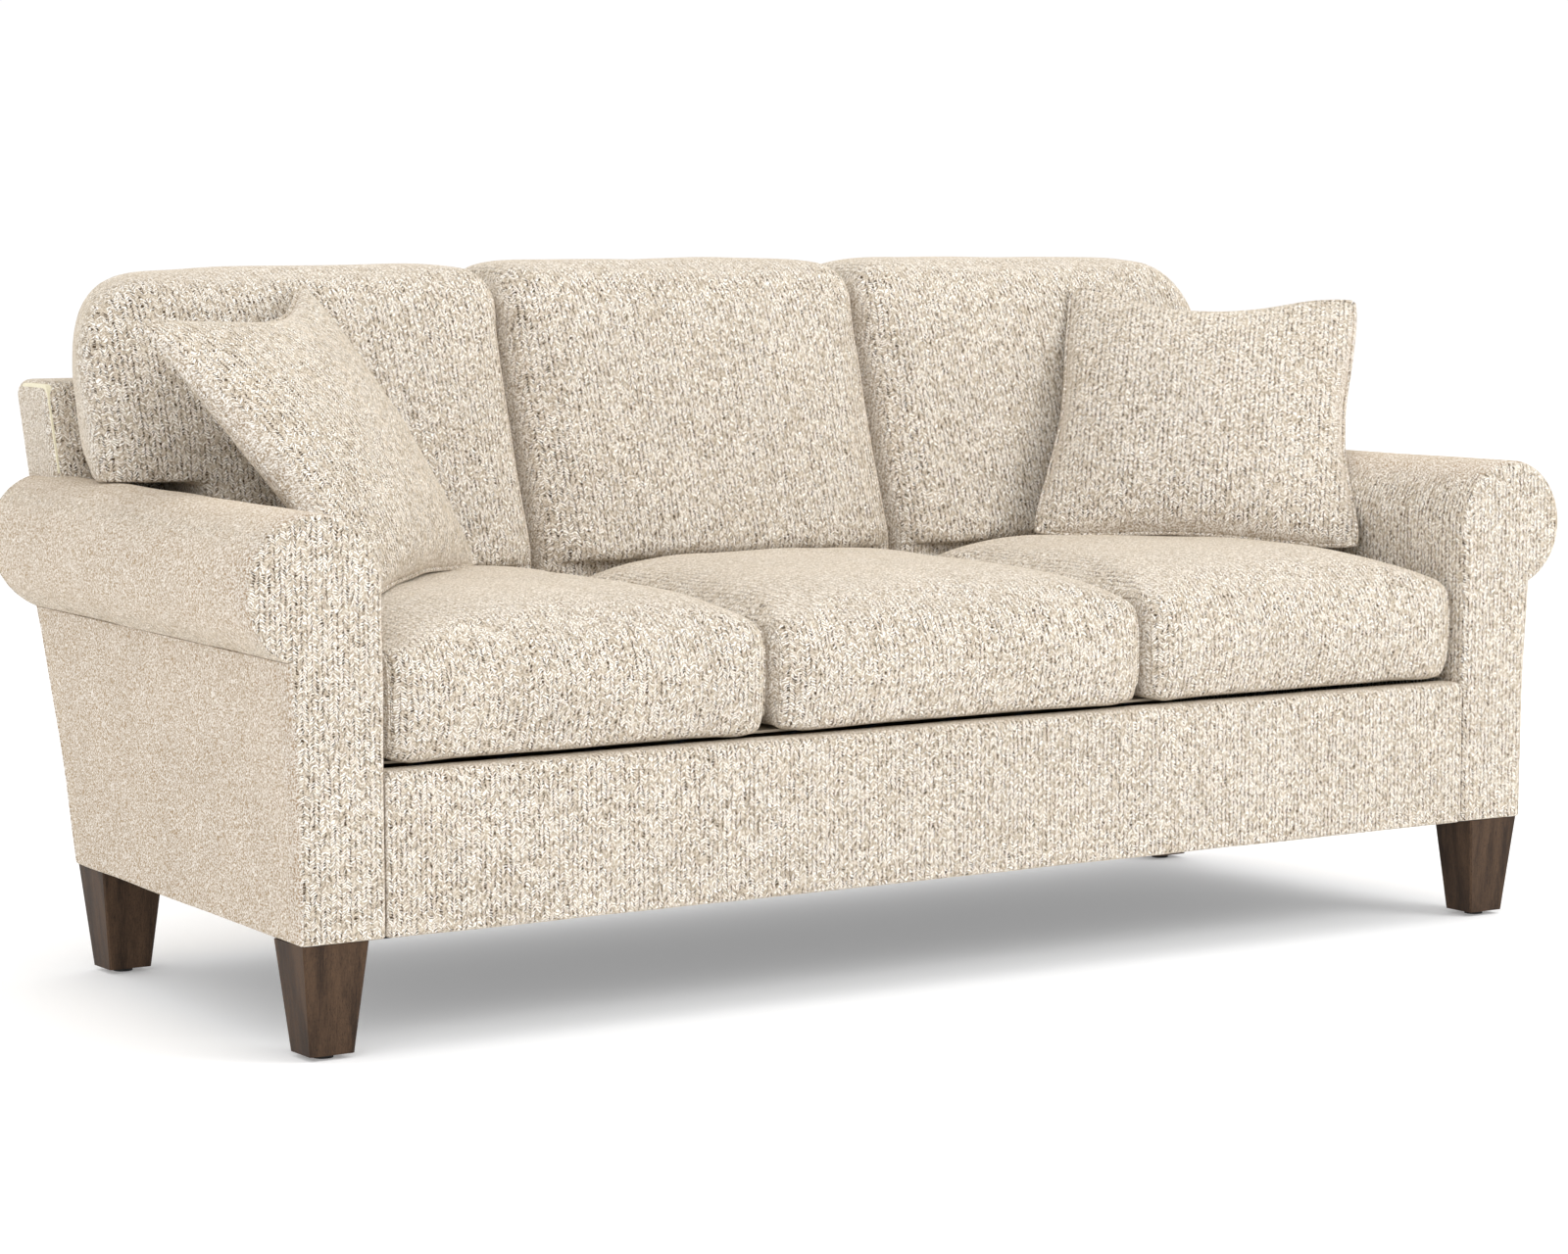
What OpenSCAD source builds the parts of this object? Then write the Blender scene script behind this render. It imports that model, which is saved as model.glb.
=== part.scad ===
// Three-seat sofa with rolled arms, loose seat and back cushions and two throw pillows.
// +X is the sitter's left hand side as seen from the front, -Y is the front, +Z is up.
// The origin lies on the floor, midway across the width and the depth.

/* [Overall] */
// Clear width between the arms at the front
seat_width = 1676; // [1500:2:1900]
// Depth of the base at its bottom edge
base_depth = 728; // [690:1:780]
// Height of the base's bottom edge above the floor
base_bottom = 138; // [110:1:170]
// Height of the front rail's top edge
rail_top = 336; // [315:1:350]
// Angle at which the arms draw in towards the back
toe_in = 3.5; // [0:0.1:4.5]

/* [Arms] */
// Height of the top of the arm roll
arm_top = 635; // [610:1:665]
// Radius of the arm roll
roll_radius = 88; // [78:1:96]
// Width of the arm at its foot
arm_width = 111; // [102:1:120]
// How far the outer panel flares out where it meets the roll
neck_flare = 11; // [4:1:16]
// Thickness of the padded facing on each end of an arm
facing_t = 12; // [8:1:18]
// Thickness of the upholstery fabric with its backing
cover_t = 4; // [3:0.5:5]
// Thickness of the padding under the fabric
padding_t = 12; // [8:1:14]

/* [Back] */
// Height of the padded back frame
back_top = 757; // [735:1:785]
// Recline of the back from upright
back_lean = 17; // [14:0.5:19]
// Thickness of the padded back frame, measured level
back_t = 95; // [86:1:110]
// Half of the width of the back frame above the arms
back_half = 893; // [885:1:900]
// Rounding of the back frame's top edges
back_round = 18; // [10:1:24]

/* [Timber] */
// Thickness of the hardwood rails and posts
rail_t = 25; // [20:1:28]
// Thickness of the shaped plywood boards in the arms
board_t = 18; // [15:1:22]
// Height of the seat rails
rail_h = 130; // [110:1:140]
// Height of the back's cross rails
back_rail_h = 60; // [45:1:70]
// Width of the seat stretchers
stretcher_w = 45; // [35:1:60]
// Height of the seat stretchers
stretcher_h = 70; // [55:1:80]
// Leg length of a corner block
block_leg = 62; // [45:1:75]

/* [Springs] */
// Sinuous springs under each seat cushion
springs_per_seat = 4; // [3:1:4]
// Diameter of the spring wire
wire_d = 4; // [3.2:0.1:4.5]
// Width of a spring across its bends
spring_w = 50; // [40:1:60]
// Number of bends along a spring
spring_bends = 13; // [11:2:17]
// Rise of a spring's middle above its ends
spring_arch = 10; // [4:1:12]
// Width of a back webbing band
band_w = 50; // [40:1:60]
// Thickness of a back webbing band
band_t = 2; // [1.5:0.5:3]

/* [Seat cushions] */
// Half of the width of the middle cushions, seat and back
middle_half = 292; // [284:1:300]
// Height of a seat cushion's boxing
seat_edge_h = 128; // [112:1:134]
// Crown of a seat cushion above its boxing
seat_crown = 44; // [30:1:50]
// Depth of a seat cushion
seat_depth = 572; // [550:1:580]
// Setback of the seat cushions behind the arm fronts
seat_setback = 6; // [3:1:15]
// Corner radius of a seat cushion in plan
seat_corner = 34; // [24:1:45]
// Softening of a seat cushion's upper edge
seat_shoulder = 30; // [20:1:36]
// Gap between neighbouring cushions, and between cushions and arms
cushion_gap = 2.4; // [1.5:0.1:6]

/* [Back cushions] */
// Height of a back cushion's top above the floor
back_cushion_top = 903; // [885:1:925]
// Thickness of a back cushion's edge, measured level
back_edge_t = 158; // [140:1:164]
// Thickness of a back cushion at its foot, measured level
back_foot_t = 92; // [80:1:100]
// Crown of a back cushion's face
back_crown = 42; // [28:1:50]
// Half of the width of the three back cushions above the arms
back_cushion_half = 896; // [884:1:904]
// How much narrower the row is at its rear, on each side
back_cushion_flare = 40; // [0:1:50]
// Radius of the row's outer top corners
back_cushion_corner = 98; // [70:1:108]
// Clearance between soft parts and what they lie against
soft_gap = 0.4; // [0.3:0.1:1]

/* [Throw pillows] */
// Side of a pillow along its seam
pillow_side = 436; // [400:2:446]
// Thickness of a pillow at its middle
pillow_t = 130; // [100:2:140]
// How far the pillow's sides draw in between its corners
pillow_draw = 22; // [8:1:26]
// Share of the pillow's fullness on the side that it leans on
pillow_lean_share = 0.7; // [0.5:0.05:1]

/* [Legs] */
// Width of a leg at its top
leg_top_w = 86; // [74:1:90]
// Depth of a leg at its top
leg_top_d = 76; // [68:1:84]
// Width of a leg at its foot
leg_foot_w = 58; // [46:1:62]
// Depth of a leg at its foot
leg_foot_d = 51; // [44:1:58]
// Inset of a front leg's outer face from the arm's outer face
leg_inset = 4; // [1:1:12]
// Height of the glide under a leg
glide_h = 6; // [4:1:9]
// Diameter of a glide
glide_d = 25; // [20:1:32]
// Diameter of a leg's hanger bolt
bolt_d = 8; // [6:1:10]

/* [Hidden] */

// Colours as the sofa shows them
FABRIC = [0.85, 0.80, 0.72];
PALE_WOOD = [0.80, 0.66, 0.47];
DARK_WOOD = [0.22, 0.16, 0.13];
FOAM = [0.95, 0.92, 0.80];
STEEL = [0.65, 0.66, 0.68];
BLACK = [0.08, 0.08, 0.08];

// Derived places
slope = tan(back_lean);
toe_slope = tan(toe_in);
inner_x = seat_width / 2;
outer_x = inner_x + arm_width;
roll_x = inner_x + roll_radius;
roll_z = arm_top - roll_radius;
neck_x = outer_x + neck_flare;

// The depth runs from the arm fronts to the rounded top of the back
back_round_y = rear_y(back_top - back_round) - back_round / cos(back_lean);
total_depth = back_round_y + back_round;

// Joint between parts that lie against each other
fit = 0.2;
deck_t = 3;
dust_t = 1.2;
plate_t = 3;
board_bottom = base_bottom + plate_t;
board_base_t = 22;
rail_bottom = rail_top - rail_h - 8;
front_rail_y = cover_t + padding_t;
deck_z = rail_top + deck_t;
frame_inset = cover_t + padding_t + fit;

// Level position of the back's rear plane and front plane at height z
function rear_y(z) = base_depth + slope * (z - base_bottom);
function front_y(z) = rear_y(z) - back_t;
// Half of the width between the arms at depth y
function inner_half(y) = outer_x - arm_width / cos(toe_in) - toe_slope * y;

// The rear rail stands just in front of the back frame's foot
rear_rail_y = front_y(rail_top) - rail_t - 20;

// Shifts everything so that the origin is midway along the depth
module placed() {
    translate([0, -total_depth / 2, 0]) children();
}

// Draws a right hand part, or its mirror image on the left
module side(s) {
    if (s > 0) children();
    else mirror([1, 0, 0]) children();
}

// Extrudes a side view, given in depth and height, from x0 to x1
module across(x0, x1) {
    translate([x0, 0, 0]) rotate([90, 0, 90]) linear_extrude(x1 - x0) children();
}

// Turns a right hand part by the toe-in about the front of the arm's foot
module toed() {
    translate([outer_x, 0, 0]) rotate([0, 0, toe_in]) translate([-outer_x, 0, 0]) children();
}

// Extrudes a front view, given in width and height, from front to back
module along(y0, y1) {
    translate([0, y1, 0]) rotate([90, 0, 0]) linear_extrude(y1 - y0) children();
}

// Keeps what lies in front of the rear plane less d1 and behind depth y0,
// or, with y0 of -10, behind the rear plane less d0
module depth_slab(y0, d0, d1) {
    intersection() {
        children();
        across(inner_x - 200, outer_x + 200) polygon([
            [y0 > -1 ? y0 : rear_y(0) - d0, 0],
            [rear_y(0) - d1, 0],
            [rear_y(1000) - d1, 1000],
            [y0 > -1 ? y0 : rear_y(1000) - d0, 1000],
        ]);
    }
}

// A right hand arm's outline, drawn in by a distance all round, from depth y0 to y1
module arm_body(inset, bottom, y0, y1) {
    radius = roll_radius - inset;
    neck_a = -acos((neck_x - inset - roll_x) / radius);
    neck_z = roll_z + radius * sin(neck_a);
    // The outer panel's curve runs on a little way inside the roll
    run_on = 1.1;
    flare = [for (k = [0:1:6]) let (t = run_on * (1 - k / 6))
        [outer_x - inset + neck_flare * t * t, bottom + (neck_z - bottom) * t]];
    toed() union() {
        along(y0, y1) translate([roll_x, roll_z]) circle(radius, $fn = 96);
        along(y0, y1) polygon(concat(
            [[inner_x + inset, bottom], [inner_x + inset, roll_z], [roll_x, roll_z]],
            flare));
    }
}

// The plan between the arms, with a clearance to each arm
module between_arms(clear, z0, z1) {
    far = total_depth;
    translate([0, 0, z0]) linear_extrude(z1 - z0) polygon([
        [-inner_half(0) + clear, 0], [inner_half(0) - clear, 0],
        [inner_half(far) - clear, far], [-inner_half(far) + clear, far],
    ]);
}

// The side view of the back frame, drawn in by a distance at the front and top
module back_profile(inset, z0, rear_inset) {
    round_r = back_round - min(inset, back_round - 4);
    top = back_top - inset;
    rear_c = rear_y(top - round_r) - rear_inset - round_r / cos(back_lean);
    front_c = front_y(top - round_r) + inset / cos(back_lean) + round_r / cos(back_lean);
    union() {
        polygon([
            [front_y(z0) + inset / cos(back_lean), z0],
            [rear_y(z0) - rear_inset, z0],
            [rear_c + round_r * cos(back_lean), top - round_r - round_r * sin(back_lean)],
            [rear_c, top - round_r],
            [rear_c, top],
            [front_c, top],
            [front_c, top - round_r],
            [front_c - round_r * cos(back_lean), top - round_r + round_r * sin(back_lean)],
        ]);
        translate([rear_c, top - round_r]) circle(round_r, $fn = 64);
        translate([front_c, top - round_r]) circle(round_r, $fn = 64);
    }
}

// The back frame's body: between the arms below, over the arms above
module back_body(inset, rear_inset, z0) {
    intersection() {
        across(-back_half + inset, back_half - inset) back_profile(inset, z0, rear_inset);
        union() {
            between_arms(fit + inset, z0, back_top + 50);
            translate([-back_half, 0, arm_top + fit + inset])
                cube([2 * back_half, total_depth + 50, 400]);
        }
    }
}

// Timber frame

module front_rail() {
    color(PALE_WOOD) placed() intersection() {
        translate([-inner_x, front_rail_y + fit, rail_bottom])
            cube([2 * inner_x, rail_t, rail_top - cover_t - fit - rail_bottom]);
        between_arms(fit, 0, 1000);
    }
}

module rear_rail() {
    color(PALE_WOOD) placed() intersection() {
        translate([-inner_x, rear_rail_y, rail_bottom])
            cube([2 * inner_x, rail_t, rail_top - fit - rail_bottom]);
        between_arms(fit, 0, 1000);
    }
}

stretcher_y = front_rail_y + rail_t + 2 * fit;
stretcher_x = seat_width / 6;

module seat_stretchers() {
    color(PALE_WOOD) placed() for (s = [-1, 1])
        translate([s * stretcher_x - stretcher_w / 2, stretcher_y, rail_bottom])
            cube([stretcher_w, rear_rail_y - fit - stretcher_y, stretcher_h]);
}

// Triangular blocks that brace the seat rails against the arms
module corner_blocks() {
    block_h = 60;
    rear_corner = rear_rail_y - fit;
    color(PALE_WOOD) placed() for (s = [-1, 1]) side(s) {
        front_half = inner_half(stretcher_y) - fit;
        rear_half = inner_half(rear_corner) - fit;
        translate([0, 0, rail_bottom]) linear_extrude(block_h) polygon([
            [front_half, stretcher_y], [front_half - block_leg, stretcher_y],
            [front_half - toe_slope * block_leg, stretcher_y + block_leg],
        ]);
        translate([0, 0, rail_bottom]) linear_extrude(block_h) polygon([
            [rear_half, rear_corner], [rear_half + toe_slope * block_leg, rear_corner - block_leg],
            [rear_half - block_leg, rear_corner],
        ]);
    }
}

// The board along an arm's foot, which carries the posts and the legs
module base_board(s) {
    color(PALE_WOOD) placed() side(s) difference() {
        depth_slab(facing_t + fit, 0, facing_t + fit)
            toed() along(-50, total_depth) translate([inner_x + frame_inset, board_bottom])
                square([arm_width - 2 * frame_inset, board_base_t]);
        for (p = leg_places) translate([p[0], p[1], board_bottom - 1])
            cylinder(h = board_base_t + 2, d = bolt_d + 2 * fit, $fn = 48);
    }
}
module left_base_board() { base_board(-1); }
module right_base_board() { base_board(1); }

post_bottom = board_bottom + board_base_t + fit;

// The shaped plywood board that gives an arm's front its outline
module arm_front_post(s) {
    color(PALE_WOOD) placed() side(s) intersection() {
        arm_body(frame_inset, post_bottom, -50, 300);
        translate([0, facing_t + fit, 0]) cube([outer_x + 300, board_t, 1000]);
    }
}
module left_arm_front_post() { arm_front_post(-1); }
module right_arm_front_post() { arm_front_post(1); }

module arm_rear_post(s) {
    color(PALE_WOOD) placed() side(s) depth_slab(-10, facing_t + fit + board_t, facing_t + fit)
        arm_body(frame_inset, post_bottom, 300, total_depth + 100);
}
module left_arm_rear_post() { arm_rear_post(-1); }
module right_arm_rear_post() { arm_rear_post(1); }

// The rail that joins the two boards inside the roll
module arm_top_rail(s) {
    // The rail's upper corners lie just inside the padding of the roll
    rail_half = (roll_radius - frame_inset) * 0.75;
    rail_high = (roll_radius - frame_inset) * 0.66;
    color(PALE_WOOD) placed() side(s)
        depth_slab(facing_t + board_t + 2 * fit, 0, facing_t + board_t + 2 * fit)
            toed() along(-50, total_depth + 50)
                translate([roll_x - rail_half, roll_z + rail_high - rail_t])
                    square([2 * rail_half, rail_t]);
}
module left_arm_top_rail() { arm_top_rail(-1); }
module right_arm_top_rail() { arm_top_rail(1); }

// Back frame timber, inside the padding

back_inset = cover_t + padding_t + fit;
back_post_w = 48;
back_post_top = back_top - back_inset - fit;
back_post_bottom = rail_bottom;
// Level depth of the back's timber behind its padding
back_timber_y = 32;

module back_posts() {
    post_x = [-inner_half(total_depth) + back_inset + back_post_w / 2 + fit, -stretcher_x,
        stretcher_x, inner_half(total_depth) - back_inset - back_post_w / 2 - fit];
    color(PALE_WOOD) placed() for (x = post_x) across(x - back_post_w / 2, x + back_post_w / 2)
        polygon([
            [timber_rear(back_post_bottom) - back_timber_y, back_post_bottom],
            [timber_rear(back_post_bottom), back_post_bottom],
            [timber_rear(back_rail_z - fit), back_rail_z - fit],
            [timber_rear(back_rail_z - fit) - back_timber_y, back_rail_z - fit],
        ]);
}

// The top rail stays above the ledges that the padding has over the arms
back_rail_z = max(back_post_top - back_rail_h, arm_top + back_inset + fit);
// Rear face of the back's timber at height z, just inside the outside cover
function timber_rear(z) = rear_y(z) - cover_t - fit;

module back_top_rail() {
    color(PALE_WOOD) placed()
        across(-back_half + back_inset + fit, back_half - back_inset - fit) polygon([
            [timber_rear(back_rail_z) - back_timber_y, back_rail_z],
            [timber_rear(back_rail_z), back_rail_z],
            [timber_rear(back_post_top) - 10, back_post_top],
            [timber_rear(back_post_top) - back_timber_y, back_post_top],
        ]);
}

// The lower cross rail lies against the front of the posts
lower_rail_z = rail_top + 10;
module back_lower_rail() {
    half = inner_half(total_depth) - back_inset - fit;
    color(PALE_WOOD) placed() across(-half, half) polygon([
        [lower_front(lower_rail_z), lower_rail_z],
        [lower_front(lower_rail_z) + rail_t, lower_rail_z],
        [lower_front(lower_rail_z + back_rail_h) + rail_t, lower_rail_z + back_rail_h],
        [lower_front(lower_rail_z + back_rail_h), lower_rail_z + back_rail_h],
    ]);
}
function lower_front(z) = timber_rear(z) - back_timber_y - fit - rail_t;

// Suspension

spring_z = rail_top - 22;
clip_h = 3;
spring_start = front_rail_y + rail_t + 6;
spring_end = rear_rail_y - 6;
seat_pitch = seat_width / 3;
spring_pitch = (seat_pitch - 70) / springs_per_seat;
function spring_xs() = [for (seat = [-1, 0, 1]) for (k = [0:1:springs_per_seat - 1])
    seat * seat_pitch * 0.96 + (k - (springs_per_seat - 1) / 2) * spring_pitch];

// A sinuous spring's centre line: straight runs joined by round bends
spring_rings = 3;
function spring_point(t) = let (swing = sin(180 * spring_bends * t), square_up = 0.35) [
    (spring_w - wire_d) / 2 * sign(swing) * pow(abs(swing), square_up),
    spring_start + (spring_end - spring_start) * (t - 0.28 / spring_bends / 3.1416
        * sin(360 * spring_bends * t)),
    spring_z + spring_arch * (1 - pow(2 * t - 1, 2))];

// A tube with square-cut ends swept along points
module wire(points, d, sides) {
    count = len(points);
    rings = [for (i = [0:1:count - 1])
        let (before = points[max(i - 1, 0)], after = points[min(i + 1, count - 1)],
            t = (after - before) / norm(after - before),
            u = cross([0, 0, 1], t) / norm(cross([0, 0, 1], t)), w = cross(t, u))
        for (k = [0:1:sides - 1]) points[i]
            + d / 2 * (cos(360 * k / sides + 45) * u + sin(360 * k / sides + 45) * w)];
    walls = [for (i = [0:1:count - 2]) for (k = [0:1:sides - 1])
        let (a = i * sides + k, b = i * sides + (k + 1) % sides)
        each [[a, a + sides, b + sides], [a, b + sides, b]]];
    first = [for (k = [1:1:sides - 2]) [0, k, k + 1]];
    base = (count - 1) * sides;
    last = [for (k = [1:1:sides - 2]) [base, base + k + 1, base + k]];
    polyhedron(rings, concat(walls, first, last));
}

module seat_springs() {
    steps = spring_bends * spring_rings;
    path = [for (i = [0:1:steps]) spring_point(i / steps)];
    color(STEEL) placed() for (x = spring_xs()) translate([x, 0, 0]) wire(path, wire_d, 4);
}

// Clips that hold the ends of the springs on the rails
module spring_clips() {
    clip_w = 22;
    color(STEEL) placed() for (x = spring_xs()) {
        translate([x - clip_w / 2, front_rail_y + rail_t + 2 * fit, spring_z - wire_d / 2 - clip_h - fit])
            cube([clip_w, spring_start + 4 - front_rail_y - rail_t, clip_h]);
        translate([x - clip_w / 2, spring_end - 4, spring_z - wire_d / 2 - clip_h - fit])
            cube([clip_w, rear_rail_y - fit - spring_end + 4, clip_h]);
    }
}

// Wires that tie the springs together across the seat
module spring_tie_wires() {
    tie_d = 3;
    color(STEEL) placed() for (t = [0.34, 0.66]) {
        place = spring_point(t);
        half = inner_half(place[1]) - 4;
        translate([-half, place[1], place[2] - wire_d / 2 - tie_d / 2 - fit])
            rotate([0, 90, 0]) cylinder(h = 2 * half, d = tie_d, $fn = 24);
    }
}

// Bands between the back's rails, on the front of the top rail
module back_webbing() {
    low = lower_rail_z + back_rail_h;
    high = back_post_top - 6;
    bands = 9;
    half = inner_half(total_depth) - back_inset - band_w;
    color(STEEL * 0.6) placed() for (k = [0:1:bands - 1]) {
        x = -half + 2 * half * k / (bands - 1);
        across(x - band_w / 2, x + band_w / 2) polygon([
            [band_y(low - 40, 1), low - 40], [band_y(low - 40, 0), low - 40],
            [band_y(high, 0), high], [band_y(high, 1), high],
        ]);
    }
}
// Front (1) and rear (0) face of a band at height z, just in front of the lower rail
function band_y(z, face) = lower_front(z) - fit - band_t * face;

// Upholstery

// The cloth over the springs, which carries the seat cushions
module deck_cover() {
    color(FABRIC * 0.92) placed() intersection() {
        translate([-inner_x, front_rail_y + fit + 30, rail_top])
            cube([2 * inner_x, front_y(rail_top) - front_rail_y - 30 - 2 * fit, deck_t]);
        between_arms(fit, 0, 1000);
    }
}

// The padded band over the front rail, with a rounded upper edge
rail_cover_round = 12;
module front_rail_cover() {
    color(FABRIC) placed() intersection() {
        across(-inner_x, inner_x) difference() {
            union() {
                translate([0, base_bottom]) square([front_rail_y + rail_t + fit * 2,
                    deck_z - rail_cover_round - base_bottom]);
                translate([rail_cover_round, base_bottom])
                    square([front_rail_y + fit + 30 - fit - rail_cover_round, deck_z - base_bottom]);
                translate([rail_cover_round, deck_z - rail_cover_round])
                    circle(rail_cover_round, $fn = 48);
            }
            translate([front_rail_y, base_bottom - 1])
                square([rail_t + 50, rail_top - cover_t - base_bottom + 1]);
        }
        between_arms(fit, 0, 1000);
    }
}

module arm_padding(s) {
    color(FOAM) placed() side(s) depth_slab(facing_t + fit, 0, facing_t + fit) difference() {
        arm_body(cover_t + fit / 2, board_bottom + fit, -50, total_depth + 50);
        arm_body(cover_t + padding_t, base_bottom - 20, -60, total_depth + 60);
    }
}
module left_arm_padding() { arm_padding(-1); }
module right_arm_padding() { arm_padding(1); }

module arm_cover(s) {
    color(FABRIC) placed() side(s) depth_slab(facing_t, 0, facing_t) difference() {
        arm_body(0, base_bottom, -50, total_depth + 50);
        arm_body(cover_t, base_bottom - 20, -60, total_depth + 60);
    }
}
module left_arm_cover() { arm_cover(-1); }
module right_arm_cover() { arm_cover(1); }

module arm_front_facing(s) {
    color(FABRIC) placed() side(s) intersection() {
        arm_body(0, base_bottom, -50, 300);
        cube([outer_x + 300, facing_t - fit / 2, 1000]);
    }
}
module left_arm_front_facing() { arm_front_facing(-1); }
module right_arm_front_facing() { arm_front_facing(1); }

module arm_rear_facing(s) {
    color(FABRIC) placed() side(s) depth_slab(-10, facing_t - fit / 2, 0)
        arm_body(0, base_bottom, 300, total_depth + 100);
}
module left_arm_rear_facing() { arm_rear_facing(-1); }
module right_arm_rear_facing() { arm_rear_facing(1); }

module back_padding() {
    foot = rail_top + fit;
    color(FOAM) placed() difference() {
        back_body(cover_t + fit / 2, cover_t + fit, foot);
        back_body(cover_t + padding_t, -60, foot - 60);
    }
}

module inside_back_cover() {
    foot = rail_top;
    color(FABRIC) placed() difference() {
        back_body(0, cover_t + fit / 2, foot);
        back_body(cover_t, -60, foot - 60);
    }
}

// The panel that closes the rear of the back, from the base to the top
module outside_back_cover() {
    color(FABRIC) placed() intersection() {
        back_body(0, 0, base_bottom);
        across(-outer_x, outer_x) polygon([
            [rear_y(0) - cover_t, 0], [rear_y(0) + 10, 0],
            [rear_y(1000) + 10, 1000], [rear_y(1000) - cover_t, 1000],
        ]);
    }
}

// The dark cloth tacked under the base, cut out round the legs
module dust_cover() {
    edge = 12;
    far = base_depth - edge;
    color(BLACK) placed() difference() {
        translate([0, 0, base_bottom - dust_t]) linear_extrude(dust_t - fit / 2) polygon([
            [-outer_x + edge, edge], [outer_x - edge, edge],
            [outer_x - edge - toe_slope * far, far], [-outer_x + edge + toe_slope * far, far],
        ]);
        for (s = [-1, 1]) side(s) for (p = leg_places)
            translate([p[0] - leg_top_w / 2 - 1, p[1] - leg_top_d / 2 - 1, base_bottom - 10])
                cube([leg_top_w + 2, leg_top_d + 2, 20]);
    }
}

// Legs

// Inset of a leg from the front or rear edge of the base
leg_end_inset = 5;
leg_front_x = outer_x - leg_inset - leg_top_w / 2;
leg_front_y = leg_end_inset + leg_top_d / 2;
leg_rear_y = base_depth - leg_end_inset - leg_top_d / 2;
leg_rear_x = leg_front_x - toe_slope * (leg_rear_y - leg_front_y + leg_top_d);
leg_places = [[leg_front_x, leg_front_y], [leg_rear_x, leg_rear_y]];
leg_edge = 1.6;

// A wedge that tapers across one width only
module leg_wedge(top_half, foot_half, reach) {
    translate([0, reach, 0]) rotate([90, 0, 0]) linear_extrude(2 * reach) polygon([
        [-foot_half, glide_h], [foot_half, glide_h], [top_half, base_bottom], [-top_half, base_bottom],
    ]);
}

// A four-sided leg that tapers on all its sides, with eased edges
module leg(s, p) {
    color(DARK_WOOD) placed() side(s) translate([p[0], p[1], 0]) difference() {
        intersection() {
            leg_wedge(leg_top_w / 2, leg_foot_w / 2, 80);
            rotate([0, 0, 90]) leg_wedge(leg_top_d / 2, leg_foot_d / 2, 80);
            turned_taper((leg_top_w + leg_top_d) / sqrt(8) - leg_edge,
                (leg_foot_w + leg_foot_d) / sqrt(8) - leg_edge);
        }
        translate([0, 0, base_bottom - 40]) cylinder(h = 50, d = bolt_d + 2 * fit, $fn = 48);
        translate([0, 0, glide_h - 1]) cylinder(h = 17, d = glide_pin_d + 2 * fit, $fn = 32);
    }
}
// The eased edges: the same taper turned by an eighth of a circle
module turned_taper(top_half, foot_half) {
    intersection() {
        rotate([0, 0, 45]) leg_wedge(top_half, foot_half, 120);
        rotate([0, 0, 135]) leg_wedge(top_half, foot_half, 120);
    }
}
module left_front_leg() { leg(-1, leg_places[0]); }
module right_front_leg() { leg(1, leg_places[0]); }
module left_rear_leg() { leg(-1, leg_places[1]); }
module right_rear_leg() { leg(1, leg_places[1]); }

glide_pin_d = 3;

// Steel plates between the legs and the base boards
module leg_plates() {
    plate_w = 50;
    color(STEEL) placed() for (s = [-1, 1]) side(s) for (p = leg_places)
        translate([p[0], p[1], base_bottom + fit / 2]) difference() {
            translate([-plate_w / 2, -plate_w / 2, 0]) cube([plate_w, plate_w, plate_t - fit]);
            translate([0, 0, -1]) cylinder(h = plate_t + 2, d = bolt_d + 2 * fit, $fn = 48);
        }
}

// Bolts that hold the legs to the base boards
module leg_bolts() {
    color(STEEL) placed() for (s = [-1, 1]) side(s) for (p = leg_places)
        translate([p[0], p[1], base_bottom - 38])
            cylinder(h = 38 + plate_t + board_base_t - 4, d = bolt_d, $fn = 48);
}

// Round glides with a nail, under the legs
module leg_glides() {
    color(BLACK) placed() for (s = [-1, 1]) side(s) for (p = leg_places)
        translate([p[0], p[1], 0]) union() {
            cylinder(h = glide_h - fit / 2, d = glide_d, $fn = 64);
            cylinder(h = glide_h + 14, d = glide_pin_d, $fn = 32);
        }
}

// Soft forms

// A corner of an outline, rounded by an arc of radius r in n steps
function corner_arc(a, p, b, r, n) =
    let (u = (a - p) / norm(a - p), v = (b - p) / norm(b - p), half = acos(u * v) / 2,
        c = p + (u + v) / norm(u + v) * r / sin(half),
        from = p + u * r / tan(half) - c, to = p + v * r / tan(half) - c,
        start = atan2(from[1], from[0]), turn = atan2(to[1], to[0]) - start,
        sweep = turn > 180 ? turn - 360 : turn < -180 ? turn + 360 : turn)
    [for (i = [0:1:n]) c + r * [cos(start + sweep * i / n), sin(start + sweep * i / n)]];

// A closed outline from corners [x, y, radius], with extra points along its edges
function outline(corners, arc_n, edge_n) =
    let (m = len(corners), arcs = [for (i = [0:1:m - 1])
        let (a = corners[(i + m - 1) % m], p = corners[i], b = corners[(i + 1) % m])
        corner_arc([a[0], a[1]], [p[0], p[1]], [b[0], b[1]], p[2], arc_n)])
    [for (i = [0:1:m - 1]) let (from = arcs[i][arc_n], to = arcs[(i + 1) % m][0])
        each concat(arcs[i], [for (k = [1:1:edge_n - 1]) from + (to - from) * k / edge_n])];

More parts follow.
